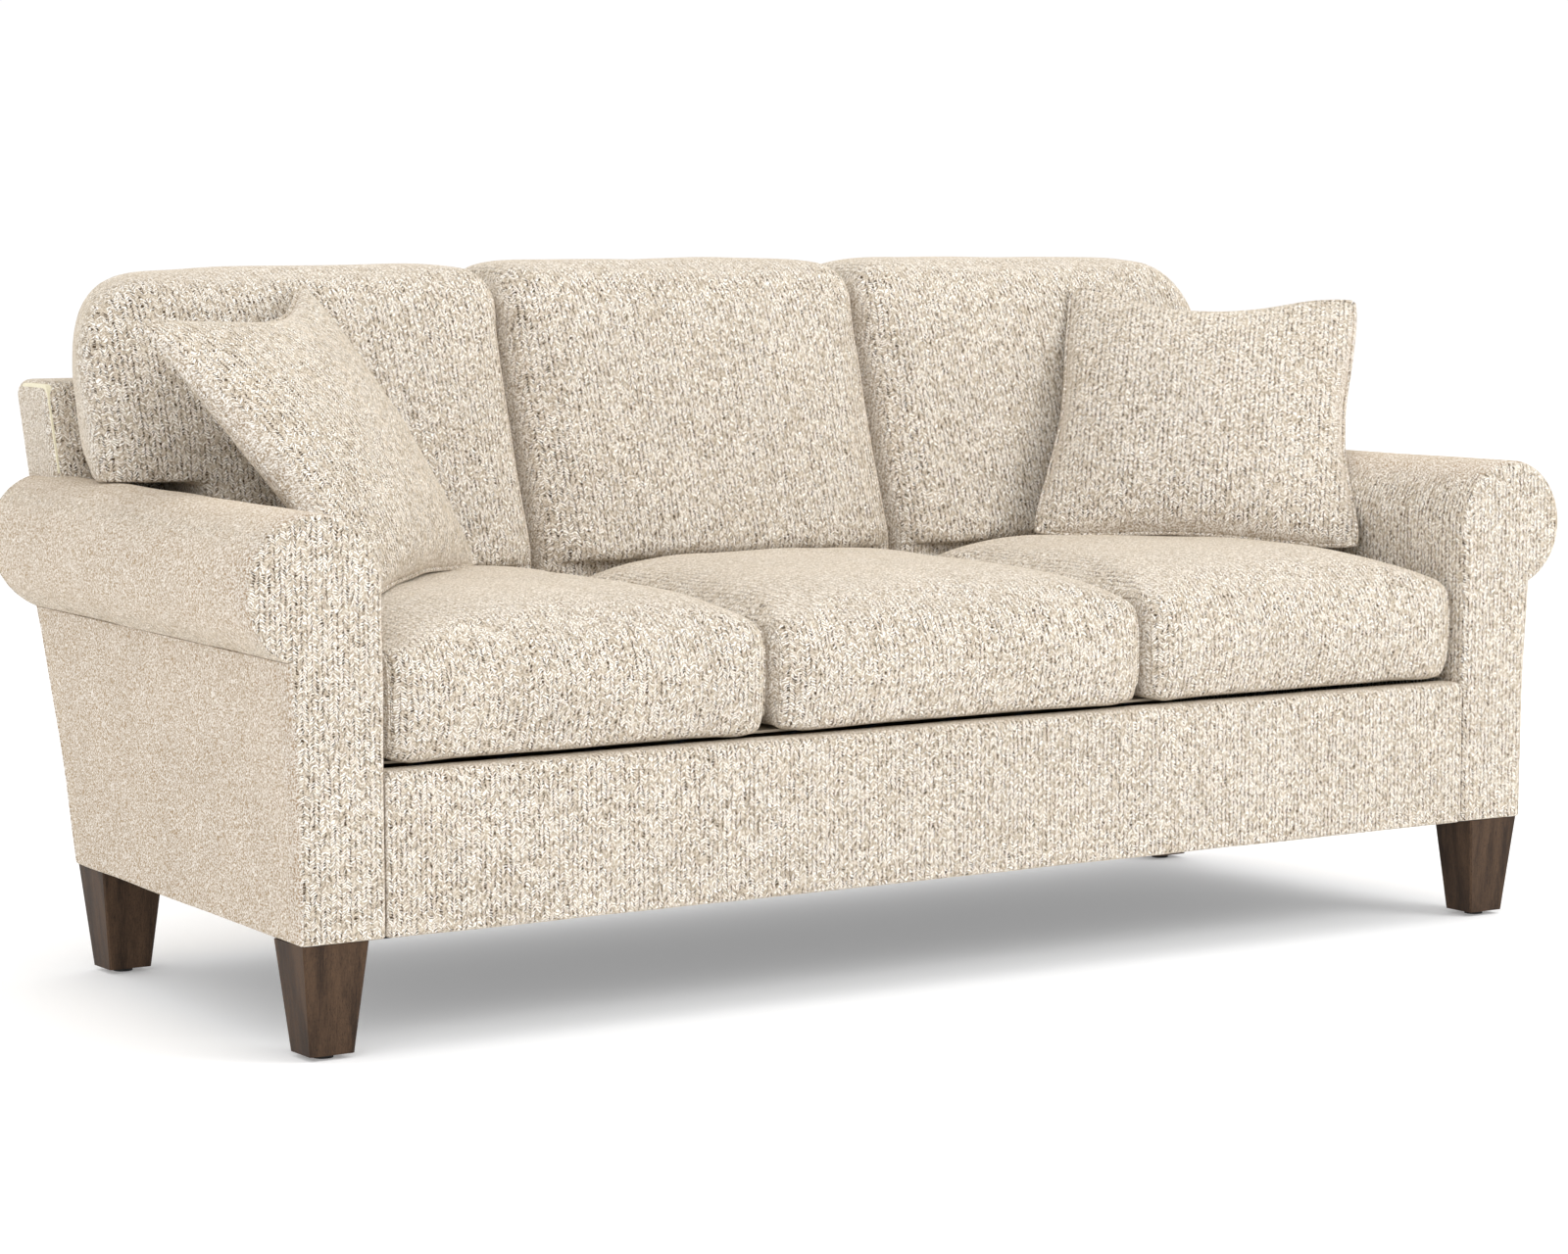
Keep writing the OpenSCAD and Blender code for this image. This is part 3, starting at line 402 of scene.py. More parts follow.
def chevron_weave():
    """Short off-white yarns in columns that lean left and right in turn, over a beige ground."""
    tree, w, given, out = new_group(
        "chevron_weave",
        [("Place", "place"), ("Across", "value"), ("Along", "value"), ("Painted_Sheen", "value"),
         ("Raised", "colour"), ("Ground", "colour"), ("Pit", "colour"), ("Painted_Sheen_Colour", "colour")])
    place = given["Place"]
    stray = w.node("ShaderNodeSeparateColor",
                   {"Color": w.grain(place, STRAY_GRAIN, 1.0).outputs["Color"]}).outputs
    shifts = [w.math("MULTIPLY", w.math("SUBTRACT", stray[k], 0.5), STRAY_REACH[k])
              for k in range(2)]
    across = w.math("DIVIDE", w.math("ADD", given["Across"], shifts[0]), COLUMN)
    along = w.math("DIVIDE", w.math("ADD", given["Along"], shifts[1]), YARN_PITCH)
    column = w.math("FLOOR", across)
    aside = w.math("SUBTRACT", w.math("SUBTRACT", across, column), 0.5)
    lean = w.math("SUBTRACT", w.math("MULTIPLY", w.math("FLOORED_MODULO", column, 2.0), 2.0), 1.0)
    own = w.node("ShaderNodeTexWhiteNoise", {"W": column}, noise_dimensions="1D").outputs["Value"]
    slope = w.math("MULTIPLY", w.math("MULTIPLY", lean, aside), YARN_RISE)
    line = w.math("ADD", w.math("ADD", along, slope), own)
    row = w.math("FLOOR", line)
    beside = w.math("SUBTRACT", w.math("SUBTRACT", line, row), 0.5)
    spot = w.node("ShaderNodeCombineXYZ", {"X": column, "Y": row}).outputs[0]
    chance = w.node("ShaderNodeTexWhiteNoise", {"Vector": spot}, noise_dimensions="2D")
    luck = w.node("ShaderNodeSeparateColor", {"Color": chance.outputs["Color"]}).outputs
    slid = w.math("MULTIPLY", w.math("SUBTRACT", luck[2], 0.5), YARN_SLIDE)
    far_aside = w.math("ABSOLUTE", w.math("ADD", aside, slid))
    far_beside = w.math("ABSOLUTE", beside)
    yarn = w.math("MULTIPLY", w.ramp(far_beside, *YARN_SIDES), w.ramp(far_aside, *YARN_ENDS))
    bright = w.math("MULTIPLY", yarn, w.ramp(luck[0], *YARN_LUCK))
    fuzz = w.grain(place, FUZZ_GRAIN, 2.0, 0.6).outputs["Fac"]
    shaded = w.mix(w.ramp(fuzz, *FUZZ_DARK), given["Ground"], given["Pit"])
    lit = w.math("MINIMUM", w.math("ADD", bright, w.ramp(fuzz, *FUZZ_LIGHT)), 1.0)
    woven = w.mix(lit, shaded, given["Raised"])
    from_gap = w.math("MULTIPLY", w.math("SUBTRACT", aside, GAP_ASIDE), GAP_NARROW)
    dot = w.math("SQRT", w.math("ADD", w.math("POWER", from_gap, 2.0),
                                w.math("POWER", w.math("SUBTRACT", far_beside, 0.5), 2.0)))
    pit = w.math("MULTIPLY", w.ramp(dot, *GAP_SIZE), w.ramp(luck[1], *GAP_LUCK))
    woven = w.mix(pit, woven, given["Pit"])
    # Painted sheen: where its share is high, a smooth warm colour covers the weave in place of the
    # sheen seen at grazing angles
    light = w.math("ADD", w.math("MULTIPLY", bright, PAINTED_SHEEN_YARN), w.ramp(fuzz, *PAINTED_SHEEN_FUZZ))
    sheen_colour = w.mix(w.math("MINIMUM", light, 1.0), given["Painted_Sheen_Colour"], given["Raised"])
    with_painted_sheen = w.mix(w.math("MULTIPLY", given["Painted_Sheen"], PAINTED_SHEEN_COVER), woven, sheen_colour)
    patch = w.ramp(w.grain(place, PATCH_GRAIN, 3.0).outputs["Fac"], *PATCH_SHADE)
    shade = w.node("ShaderNodeCombineColor", {0: patch, 1: patch, 2: patch}).outputs[0]
    w.join(w.mix(1.0, with_painted_sheen, shade, "MULTIPLY"), out["Color"])
    w.join(w.math("SUBTRACT", CLOTH_ROUGHNESS, w.math("MULTIPLY", bright, YARN_SMOOTHER)),
           out["Roughness"])
    relief = w.math("SUBTRACT", w.math("ADD", yarn, fuzz), pit)
    flat = w.math("SUBTRACT", 1.0, w.math("MULTIPLY", given["Painted_Sheen"], PAINTED_SHEEN_FLAT))
    w.join(w.math("MULTIPLY", relief, flat), out["Height"])
    return tree


def wood_grain():
    """Long fibres, pores and slow bands of colour along one direction."""
    tree, w, given, out = new_group(
        "wood_grain",
        [("Place", "place"), ("Light", "colour"), ("Dark", "colour"), ("Pore", "colour")])
    band = w.grain(given["Place"], 1.0, 4.0, 0.6).outputs["Fac"]
    fibre = w.grain(w.stretch(given["Place"], (5.0, 5.0, 0.8)), 4.0, 6.0, 0.7).outputs["Fac"]
    pore = w.grain(w.stretch(given["Place"], (9.0, 9.0, 0.6)), 9.0, 2.0).outputs["Fac"]
    tone = w.ramp(w.math("ADD", w.math("MULTIPLY", band, 0.6), w.math("MULTIPLY", fibre, 0.4)),
                  0.36, 0.62)
    open_pore = w.ramp(pore, 0.56, 0.70)
    wood = w.mix(tone, given["Dark"], given["Light"])
    w.join(w.mix(open_pore, wood, given["Pore"]), out["Color"])
    w.join(w.ramp(fibre, 0.2, 0.8, 0.38, 0.56), out["Roughness"])
    w.join(w.math("SUBTRACT", w.math("MULTIPLY", fibre, 0.4), open_pore), out["Height"])
    return tree


def fine_speckle():
    """Grain, cells or plain threads: two colours mixed by a fine texture."""
    tree, w, given, out = new_group(
        "fine_speckle", [("Place", "place"), ("First", "colour"), ("Second", "colour")])
    fine = w.grain(given["Place"], 1.0, 5.0, 0.65).outputs["Fac"]
    w.join(w.mix(w.ramp(fine, 0.3, 0.7), given["First"], given["Second"]), out["Color"])
    w.join(w.ramp(fine, 0.2, 0.8, 0.55, 0.9), out["Roughness"])
    w.join(fine, out["Height"])
    return tree


WEAVE = chevron_weave()
WOOD = wood_grain()
SPECKLE = fine_speckle()

RAISED_YARN = (0.95, 0.92, 0.875, 1)
GROUND_YARN = (0.56, 0.47, 0.355, 1)
PIT_SHADE = (0.060, 0.037, 0.019, 1)
# Colours of the painted sheen, a warm smooth tone in place of the sheen seen at grazing angles: on
# cushions and pillows, and on the arms
SEAT_PAINTED_SHEEN = (0.35, 0.272, 0.188, 1)
ARM_PAINTED_SHEEN = (0.320, 0.213, 0.112, 1)
SHEEN_TINT = (0.86, 0.72, 0.52, 1)
SHEEN = 0.45
CLOTH_SPECULAR = 0.25

# Strength and depth in metres of the relief in the materials
WEAVE_BUMP, WEAVE_DEPTH = 0.40, 0.0014
WOOD_BUMP, WOOD_DEPTH = 0.25, 0.0006
SPECKLE_BUMP = 0.2

# Above this share of a normal along an axis, a skin counts as facing that way
FACING = 0.72
# Between these shares, the cloth goes over from woven to the smooth painted sheen
PAINTED_SHEEN_TURN = (0.50, 0.93)
# How strongly skins facing sideways and up, and a pillow's edges, take the painted sheen
SIDE_SHEEN = 0.80
UP_SHEEN = 0.78
EDGE_SHEEN = (0.90, 0.45)
# Height from the roll's axis where the arm's outer panel begins
PANEL_TOP = -0.0815


def new_material(name):
    material = bpy.data.materials.new(name)
    material.use_nodes = True
    tree = material.node_tree
    shader = next(n for n in tree.nodes if n.type == "BSDF_PRINCIPLED")
    return material, Wires(tree), shader


def set_inputs(node, values):
    for name, value in values.items():
        node.inputs[name].default_value = value


def finish_shader(w, shader, made, strength, depth):
    """Feeds a group's colour, roughness and height to the shader."""
    w.join(made.outputs["Color"], shader.inputs["Base Color"])
    w.join(made.outputs["Roughness"], shader.inputs["Roughness"])
    bump = w.node("ShaderNodeBump", {"Height": made.outputs["Height"], "Strength": strength,
                                     "Distance": depth})
    w.join(bump.outputs["Normal"], shader.inputs["Normal"])


def chevron_cloth(name, directions, sheen_colour=SEAT_PAINTED_SHEEN):
    """The upholstery: directions gives how far a spot lies across and along the cloth, and how
    much painted sheen it takes.
    """
    material, w, shader = new_material(name)
    spots = w.node("ShaderNodeTexCoord")
    place = w.node("ShaderNodeSeparateXYZ", {0: spots.outputs["Object"]}).outputs
    facing = w.node("ShaderNodeSeparateXYZ", {0: spots.outputs["Normal"]}).outputs
    across, along, sheen_share = directions(w, place, facing)
    weave = w.node("ShaderNodeGroup",
                   {"Place": spots.outputs["Object"], "Across": across, "Along": along,
                    "Painted_Sheen": sheen_share, "Raised": RAISED_YARN, "Ground": GROUND_YARN,
                    "Pit": PIT_SHADE, "Painted_Sheen_Colour": sheen_colour}, node_tree=WEAVE)
    finish_shader(w, shader, weave, WEAVE_BUMP, WEAVE_DEPTH)
    set_inputs(shader, {"Specular IOR Level": CLOTH_SPECULAR, "Sheen Weight": SHEEN,
                        "Sheen Roughness": SHEEN, "Sheen Tint": SHEEN_TINT})
    return material


def side_facing(w, facing, axis):
    """1 where a skin faces along an axis, 0 elsewhere."""
    return w.math("GREATER_THAN", w.math("ABSOLUTE", facing[axis]), FACING)


def painted_sheen_share(w, turned_away):
    """How much painted sheen a skin takes: on skins that face sideways, up or down, not to the
    front.
    """
    return w.ramp(turned_away, *PAINTED_SHEEN_TURN)


def up_the_front(w, place, facing):
    """Columns run up a cushion's front and on over its top; on its sides they stand upright."""
    side = side_facing(w, facing, "X")
    lying = side_facing(w, facing, "Z")
    # Painted sheen on the cushions' sides and tops
    aside, flat = (w.math("MULTIPLY", w.math("ABSOLUTE", facing[axis]), share)
                   for axis, share in (("X", SIDE_SHEEN), ("Z", UP_SHEEN)))
    return (w.choose(side, place["X"], place["Y"]),
            w.choose(side, w.choose(lying, place["Z"], place["Y"]), place["Z"]),
            painted_sheen_share(w, w.math("MAXIMUM", aside, flat)))


def round_the_roll(w, place, facing):
    """Columns run up an arm's side and round its roll; on its ends they stand upright."""
    out = w.math("ABSOLUTE", place["X"])
    drawn = w.math("MULTIPLY", w.math("SUBTRACT", place["Y"], FRONT_Y), math.tan(TOE_IN))
    from_axis = w.math("SUBTRACT", w.math("ADD", out, drawn), ROLL_X)
    rise = w.math("SUBTRACT", place["Z"], ROLL_Z)
    arc = w.math("MULTIPLY", w.math("ARCTAN2", rise, from_axis), ROLL_RADIUS)
    inside = w.math("MULTIPLY", w.math("LESS_THAN", from_axis, 0.0),
                    w.math("LESS_THAN", rise, 0.0))
    below = w.math("SUBTRACT", math.pi * ROLL_RADIUS, rise)
    wrapped = w.choose(inside, arc, below)
    panel = w.math("MULTIPLY", w.math("LESS_THAN", rise, PANEL_TOP),
                   w.math("GREATER_THAN", from_axis, 0.0))
    side_along = w.choose(panel, wrapped, place["Z"])
    end = side_facing(w, facing, "Y")
    outward = w.math("MULTIPLY", facing["X"], w.math("SIGN", place["X"]))
    # Painted sheen on the arm's outward sides and on its top
    sheen_share = painted_sheen_share(w, w.math("MAXIMUM", outward, facing["Z"]))
    return w.choose(end, place["Y"], place["X"]), w.choose(end, side_along, place["Z"]), sheen_share


def in_the_plane(w, place, facing):
    """Columns run up a pillow in its own plane; the painted sheen grows towards its edges."""
    return place["X"], place["Y"], w.ramp(w.math("ABSOLUTE", facing["Z"]), *EDGE_SHEEN)


def wood(name, light, dark, pore, fibres, shine=0.4):
    """Timber: fibres gives how much each axis is stretched, and the axes' order in the grain."""
    material, w, shader = new_material(name)
    stretch, order = fibres
    turned = w.stretch(w.node("ShaderNodeTexCoord").outputs["Object"], stretch)
    if order:
        parts = w.node("ShaderNodeSeparateXYZ", {0: turned}).outputs
        turned = w.node("ShaderNodeCombineXYZ",
                        {axis: parts[part] for axis, part in zip("XYZ", order)}).outputs[0]
    made = w.node("ShaderNodeGroup", {"Place": turned, "Light": light, "Dark": dark,
                                      "Pore": pore}, node_tree=WOOD)
    finish_shader(w, shader, made, WOOD_BUMP, WOOD_DEPTH)
    set_inputs(shader, {"Specular IOR Level": shine})
    return material


def speckled(name, first, second, size, metal=0.0):
    """A plain finish with a fine texture of a given size in metres."""
    material, w, shader = new_material(name)
    place = w.stretch(w.node("ShaderNodeTexCoord").outputs["Object"], (1 / size,) * 3)
    made = w.node("ShaderNodeGroup", {"Place": place, "First": first, "Second": second},
                  node_tree=SPECKLE)
    finish_shader(w, shader, made, SPECKLE_BUMP, size * 0.5)
    set_inputs(shader, {"Metallic": metal})
    return material


CLOTH_FRONT = chevron_cloth("chevron_cloth", up_the_front)
CLOTH_ARM = chevron_cloth("chevron_cloth_arm", round_the_roll, ARM_PAINTED_SHEEN)
CLOTH_PILLOW = chevron_cloth("chevron_cloth_pillow", in_the_plane)
LEG_WOOD = wood("espresso_wood", (0.092, 0.053, 0.030, 1), (0.026, 0.0145, 0.0088, 1),
                (0.009, 0.0055, 0.0038, 1), ((34, 34, 4), None), shine=0.16)
ALONG_X = ((5, 30, 30), "YZX")
RAIL_TIMBER = wood("raw_timber_rails", (0.62, 0.44, 0.27, 1), (0.48, 0.32, 0.18, 1),
                   (0.30, 0.18, 0.10, 1), ALONG_X)
POST_TIMBER = wood("raw_timber_posts", (0.60, 0.43, 0.26, 1), (0.47, 0.31, 0.18, 1),
                   (0.30, 0.18, 0.10, 1), ((30, 30, 5), None))
FOAM = speckled("foam", (0.85, 0.80, 0.62, 1), (0.75, 0.69, 0.50, 1), 0.0015)
SPRING_WIRE = speckled("spring_wire", (0.35, 0.36, 0.38, 1), (0.22, 0.22, 0.24, 1), 0.002,
                       metal=1.0)
ZINC = speckled("zinc_plate", (0.62, 0.62, 0.64, 1), (0.48, 0.49, 0.52, 1), 0.004, metal=1.0)
WEBBING = speckled("elastic_webbing", (0.10, 0.09, 0.075, 1), (0.05, 0.045, 0.04, 1), 0.0012)
DECK_CLOTH = speckled("decking_cloth", (0.60, 0.52, 0.41, 1), (0.48, 0.41, 0.31, 1), 0.0010)
DUST_CLOTH = speckled("dust_cloth", (0.018, 0.018, 0.018, 1), (0.030, 0.030, 0.030, 1), 0.0012)
GLIDE = speckled("glide_plastic", (0.012, 0.012, 0.012, 1), (0.022, 0.022, 0.022, 1), 0.0008)

PAIR = ("left", "right")
ROW = ("left", "middle", "right")


def each(places, *names):
    return [place + "_" + name for name in names for place in places]


NODE_FINISHES = {
    RAIL_TIMBER: ["front_rail", "rear_rail", "seat_stretchers", "corner_blocks",
                  "back_top_rail", "back_lower_rail"],
    POST_TIMBER: ["back_posts"] + each(PAIR, "base_board", "arm_front_post", "arm_rear_post",
                                       "arm_top_rail"),
    FOAM: ["back_padding"] + each(PAIR, "arm_padding") + each(ROW, "seat_core", "back_core"),
    SPRING_WIRE: ["seat_springs", "spring_clips", "spring_tie_wires"],
    ZINC: ["leg_plates", "leg_bolts"],
    WEBBING: ["back_webbing"],
    DECK_CLOTH: ["deck_cover"],
    DUST_CLOTH: ["dust_cover"],
    LEG_WOOD: each(PAIR, "front_leg", "rear_leg"),
    GLIDE: ["leg_glides"],
}


def finish_nodes():
    """Gives each carried-over node of the frame its finish."""
    for material, names in NODE_FINISHES.items():
        for name in names:
            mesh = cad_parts[name].data
            mesh.materials.clear()
            mesh.materials.append(material)


def fit_piece(obj, material, body, nodes=()):
    """Dresses a piece and lets it ride on its body in place of its nodes."""
    obj.data.materials.clear()
    obj.data.materials.append(material)
    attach(obj, body)
    if nodes:
        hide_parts(*nodes)
    return obj


# Arms

FACING_ROUND = 0.010
FOOT_ROUND = 0.004
CREASE_DEPTH = 0.006
CREASE_GAP = 0.0012
SEAM_DEPTH = 0.0013
SEAM_HALF = 0.0022
# Share of a rounding that is left where a skin is tucked against another
TUCKED = 0.3
# Points of an arm's outline round its foot, up its inner side, round the roll, down its panel
FOOT_STEPS, INNER_STEPS, ROLL_STEPS, PANEL_STEPS = 4, 16, 72, 20
# Steps of an arm's skin along its length, and of a rounded edge
ARM_STEPS = 24
ROUND_STEPS = 6


def quarter(steps):
    """Shares that a rounded edge draws in and lies back by, from its outer end inwards."""
    turns = [math.pi / 2 * k / steps for k in range(steps + 1)]
    return [(1 - math.sin(a), 1 - math.cos(a)) for a in turns]


def arm_outline(inset):
    """A right arm's outline from the front, drawn in by inset, as (x, z) points."""
    radius = ROLL_RADIUS - inset
    neck_angle = -math.acos((NECK_X - inset - ROLL_X) / radius)
    neck_z = ROLL_Z + radius * math.sin(neck_angle)
    inner, outer = INNER_X + inset, OUTER_X - inset
    low = BASE_BOTTOM + inset * TUCKED
    foot = low + FOOT_ROUND
    points = []
    for k in range(FOOT_STEPS + 1):
        a = math.pi * 1.5 - math.pi / 2 * k / FOOT_STEPS
        points.append((inner + FOOT_ROUND * (1 + math.cos(a)), foot + FOOT_ROUND * math.sin(a)))
    points += [(inner, foot + (ROLL_Z - foot) * k / INNER_STEPS) for k in range(1, INNER_STEPS)]
    for k in range(ROLL_STEPS + 1):
        a = math.pi + (neck_angle - math.pi) * k / ROLL_STEPS
        points.append((ROLL_X + radius * math.cos(a), ROLL_Z + radius * math.sin(a)))
    tuck = max(0.0, CREASE_DEPTH - inset * 0.4)
    points.append((NECK_X - inset - tuck, neck_z + tuck * 0.25))
    for k in range(PANEL_STEPS + 1):
        t = 1 - k / PANEL_STEPS
        points.append((outer + NECK_FLARE * t * t, foot + (neck_z - foot) * t - CREASE_GAP * t))
    for k in range(FOOT_STEPS + 1):
        a = -math.pi / 2 * k / FOOT_STEPS
        points.append((outer - FOOT_ROUND * (1 - math.cos(a)), foot + FOOT_ROUND * math.sin(a)))
    return points


def arm_place(x, z, y):
    """A right arm's point at depth y, turned by the toe-in about the front of its outer foot."""
    along = (y - (x - OUTER_X) * math.sin(TOE_IN)) / math.cos(TOE_IN)
    turned = OUTER_X + (x - OUTER_X) * math.cos(TOE_IN) - along * math.sin(TOE_IN)
    return turned, y, z


def arm_upholstery(side):
    """A padded arm: round roll, flat facings with soft edges, and a tuck under the roll."""
    rings = []
    ends = [(FACING_ROUND * drawn, FACING_ROUND * back) for drawn, back in quarter(ROUND_STEPS)]
    # A seam joins each facing to the arm's cover
    ends += [(SEAM_DEPTH, FACING_ROUND + SEAM_HALF), (0.0, FACING_ROUND + 2 * SEAM_HALF)]
    stations = [(inset, deep, 0) for inset, deep in ends]
    stations += [(0.0, 0.0, k / ARM_STEPS) for k in range(1, ARM_STEPS)]
    stations += [(inset, deep, 1) for inset, deep in reversed(ends)]
    for inset, deep, share in stations:
        ring = []
        for x, z in arm_outline(inset):
            near, far = 1.5 * FACING_ROUND, rear_y(z) - 1.5 * FACING_ROUND
            if share == 0:
                y = deep
            elif share == 1:
                y = rear_y(z) - deep
            else:
                y = near + (far - near) * share
            px, py, pz = arm_place(x, z, y)
            ring.append(Vector((side * px, FRONT_Y + py, pz)))
        rings.append(ring)
    name = "right_arm" if side > 0 else "left_arm"
    obj = skin(name + "_upholstery", rings)
    undulate(obj, amount=0.0012, size=0.11, seed=side + 4)
    return fit_piece(obj, CLOTH_ARM, "root",
                     [name + "_cover", name + "_front_facing", name + "_rear_facing"])


# Front rail and back

def front_rail_band():
    """The padded band along the front rail, with soft edges."""
    deep, top_round, low_round, rear_round, end_round = 0.0412, 0.012, 0.005, 0.004, 0.006
    low, high = BASE_BOTTOM, DECK_TOP - SEAT_HANG
    section = outline([(0, low, low_round), (0, high, top_round), (deep, high, rear_round),
                       (deep, low, rear_round)], 6, 10)
    middle = Vector((deep / 2, (low + high) / 2))
    ends = [(end_round * drawn, end_round * back) for drawn, back in quarter(5)]
    steps = 48
    stations = [(inset, -1, deep_in) for inset, deep_in in ends]
    stations += [(0.0, -1 + 2 * k / steps, 0.0) for k in range(1, steps)]
    stations += [(inset, 1, deep_in) for inset, deep_in in reversed(ends)]
    rings = []
    for inset, share, deep_in in stations:
        ring = []
        for p in section:
            away = p - middle
            y = middle.x + away.x * (1 - inset / (deep / 2))
            z = middle.y + away.y * (1 - inset / ((high - low) / 2))
            half = inner_half(y) - FIT
            reach = half - end_round if abs(share) < 1 else half - deep_in
            ring.append(Vector((share * reach, FRONT_Y + y, z)))
        rings.append(ring)
    obj = skin("front_rail_band", rings)
    undulate(obj, amount=0.0008, size=0.13, seed=2)
    return fit_piece(obj, CLOTH_FRONT, "root", ["front_rail_cover"])


# The back's ledges are pulled down on to the arm rolls by this much
LEDGE_SINK = 0.010
# Roundings of the back's outline: at its free top, at the ledges and at its foot
BACK_TOP_ROUND, LEDGE_ROUND, BACK_FOOT_ROUND = 0.022, 0.004, 0.006


def back_outline(inset, low):
    """The back frame from behind: between the arms below, over the arms above."""
    tucked = inset * TUCKED
    between = inner_half(rear_y(ARM_TOP)) - FIT - tucked
    wide = BACK_HALF - inset
    top_round = max(LEDGE_ROUND, BACK_TOP_ROUND - inset)
    ledge = ARM_TOP - LEDGE_SINK
    top = BACK_TOP - inset
    return outline([
        (-between, low + tucked, BACK_FOOT_ROUND), (-between, ledge, LEDGE_ROUND),
        (-wide, ledge, LEDGE_ROUND), (-wide, top, top_round), (wide, top, top_round),
        (wide, ledge, LEDGE_ROUND), (between, ledge, LEDGE_ROUND),
        (between, low + tucked, BACK_FOOT_ROUND)], 6, 12)


def back_shell(name, low, near, far, near_round, far_round):
    """A slab of the back from one depth in front of its rear plane to another."""
    turns = quarter(ROUND_STEPS)
    stations = [(near_round * drawn, near - near_round * back) for drawn, back in turns]
    stations += [(far_round * drawn, far + far_round * back) for drawn, back in reversed(turns)]

    def place(p, level):
        # The arms stand further apart in front, and the back fills the room between them
        y, narrow = rear_y(p.y) - level, inner_half(rear_y(ARM_TOP))
        beyond = max(0.0, (abs(p.x) - narrow) / (BACK_HALF - narrow))
        spread = (inner_half(y) - narrow) * min(1, abs(p.x) / narrow) * max(0, 1 - beyond)
        return Vector((p.x + math.copysign(spread, p.x), FRONT_Y + y, p.y))

    return skin(name, [[place(p, level) for p in back_outline(inset, low)]
                       for inset, level in stations])


def inside_back():
    obj = back_shell("back_upholstery", low=DECK_TOP - 0.002, near=BACK_THICK, far=0.003,
                     near_round=0.018, far_round=0.004)
    undulate(obj, amount=0.0010, size=0.12, seed=9)
    return fit_piece(obj, CLOTH_FRONT, "root", ["inside_back_cover"])


def outside_back():
    obj = back_shell("outside_back_panel", low=BASE_BOTTOM, near=0.012, far=0.0,
                     near_round=0.002, far_round=0.004)
    return fit_piece(obj, CLOTH_FRONT, "root", ["outside_back_cover"])


# Seams and welts

SEAM_INSET = 0.011
SEAM_RADIUS = 0.0016
SEAM_STEPS = 160
# A seam starts at the rear of the top and goes this far round over the front
SEAM_START, SEAM_TURN = math.radians(20), math.radians(195)


def cord(name, path, outs, radius, closed):
    """A thin round cord along a path; outs gives the way out of the cloth at each point."""
    sides, count = 8, len(path)
    rings = []
    for k, out in enumerate(outs):
        after = path[(k + 1) % count] if closed else path[min(k + 1, count - 1)]
        before = path[k - 1] if closed or k else path[0]
        ahead = (after - before).normalized()
        up = out.cross(ahead).normalized()
        level = ahead.cross(up)
        rings.append([path[k] + radius * (math.cos(a) * level + math.sin(a) * up)
                      for a in (2 * math.pi * i / sides for i in range(sides))])
    if not closed:
        return skin(name, rings)
    obj = new_object(name, [p for ring in rings for p in ring],
                     ring_faces(count, sides, closed=True))
    tidy_normals(obj)
    return obj


def side_seam(name, cushion, edge, drawn, body):
    """The seam between a seat cushion's side and the panel that runs over its top and front."""
    graph = bpy.context.evaluated_depsgraph_get()
    tree = BVHTree.FromObject(cushion, graph)
    middle_y = FRONT_Y + (SEAT_SETBACK + SEAT_REAR) / 2
    middle_z = FOOT_Z + SEAT_EDGE / 2
    path, outs = [], []
    for k in range(SEAM_STEPS + 1):
        a = SEAM_START + SEAM_TURN * k / SEAM_STEPS
        out = Vector((0, math.cos(a) * SEAT_DEPTH / 2, math.sin(a) * SEAT_EDGE / 2)).normalized()
        start = Vector((edge, middle_y, middle_z)) + out * 0.6
        start.x -= drawn * (start.y - FRONT_Y - SEAT_SETBACK)
        way = -out
        way.x = drawn * out.y
        spot, normal = tree.ray_cast(start, way.normalized())[:2]
        if spot is not None:
            path.append(spot + normal * SEAM_RADIUS * 0.15)
            outs.append(normal)
    obj = cord(name, path, outs, SEAM_RADIUS, False)
    return fit_piece(obj, CLOTH_FRONT, body)


# Seat cushions

# Rings of a seat cushion from its foot to its crown: share of its outline, and level
SEAT_RINGS = [(0.30, 0), (0.94, 0), (0.98, 0.04), (1, 0.15), (1.004, 0.5), (1, 0.82),
              (0.985, 0.95), (0.95, 1.05), (0.87, 1.13), (0.74, 1.16), (0.58, 1.18), (0.40, 1.18),
              (0.20, 1.18)]
SEAT_SHOULDER = 0.018
SEAT_CORNER = 0.034
SEAT_DRAW = 0.005
# The front edge of a seat cushion hangs this far below its foot, over the padded rail
SEAT_HANG = 0.0065


def front_hang(y):
    """How far a seat cushion's underside hangs down at a depth."""
    return SEAT_HANG * (1 - smooth_step(SEAT_SETBACK + 0.010, SEAT_SETBACK + 0.032, y))


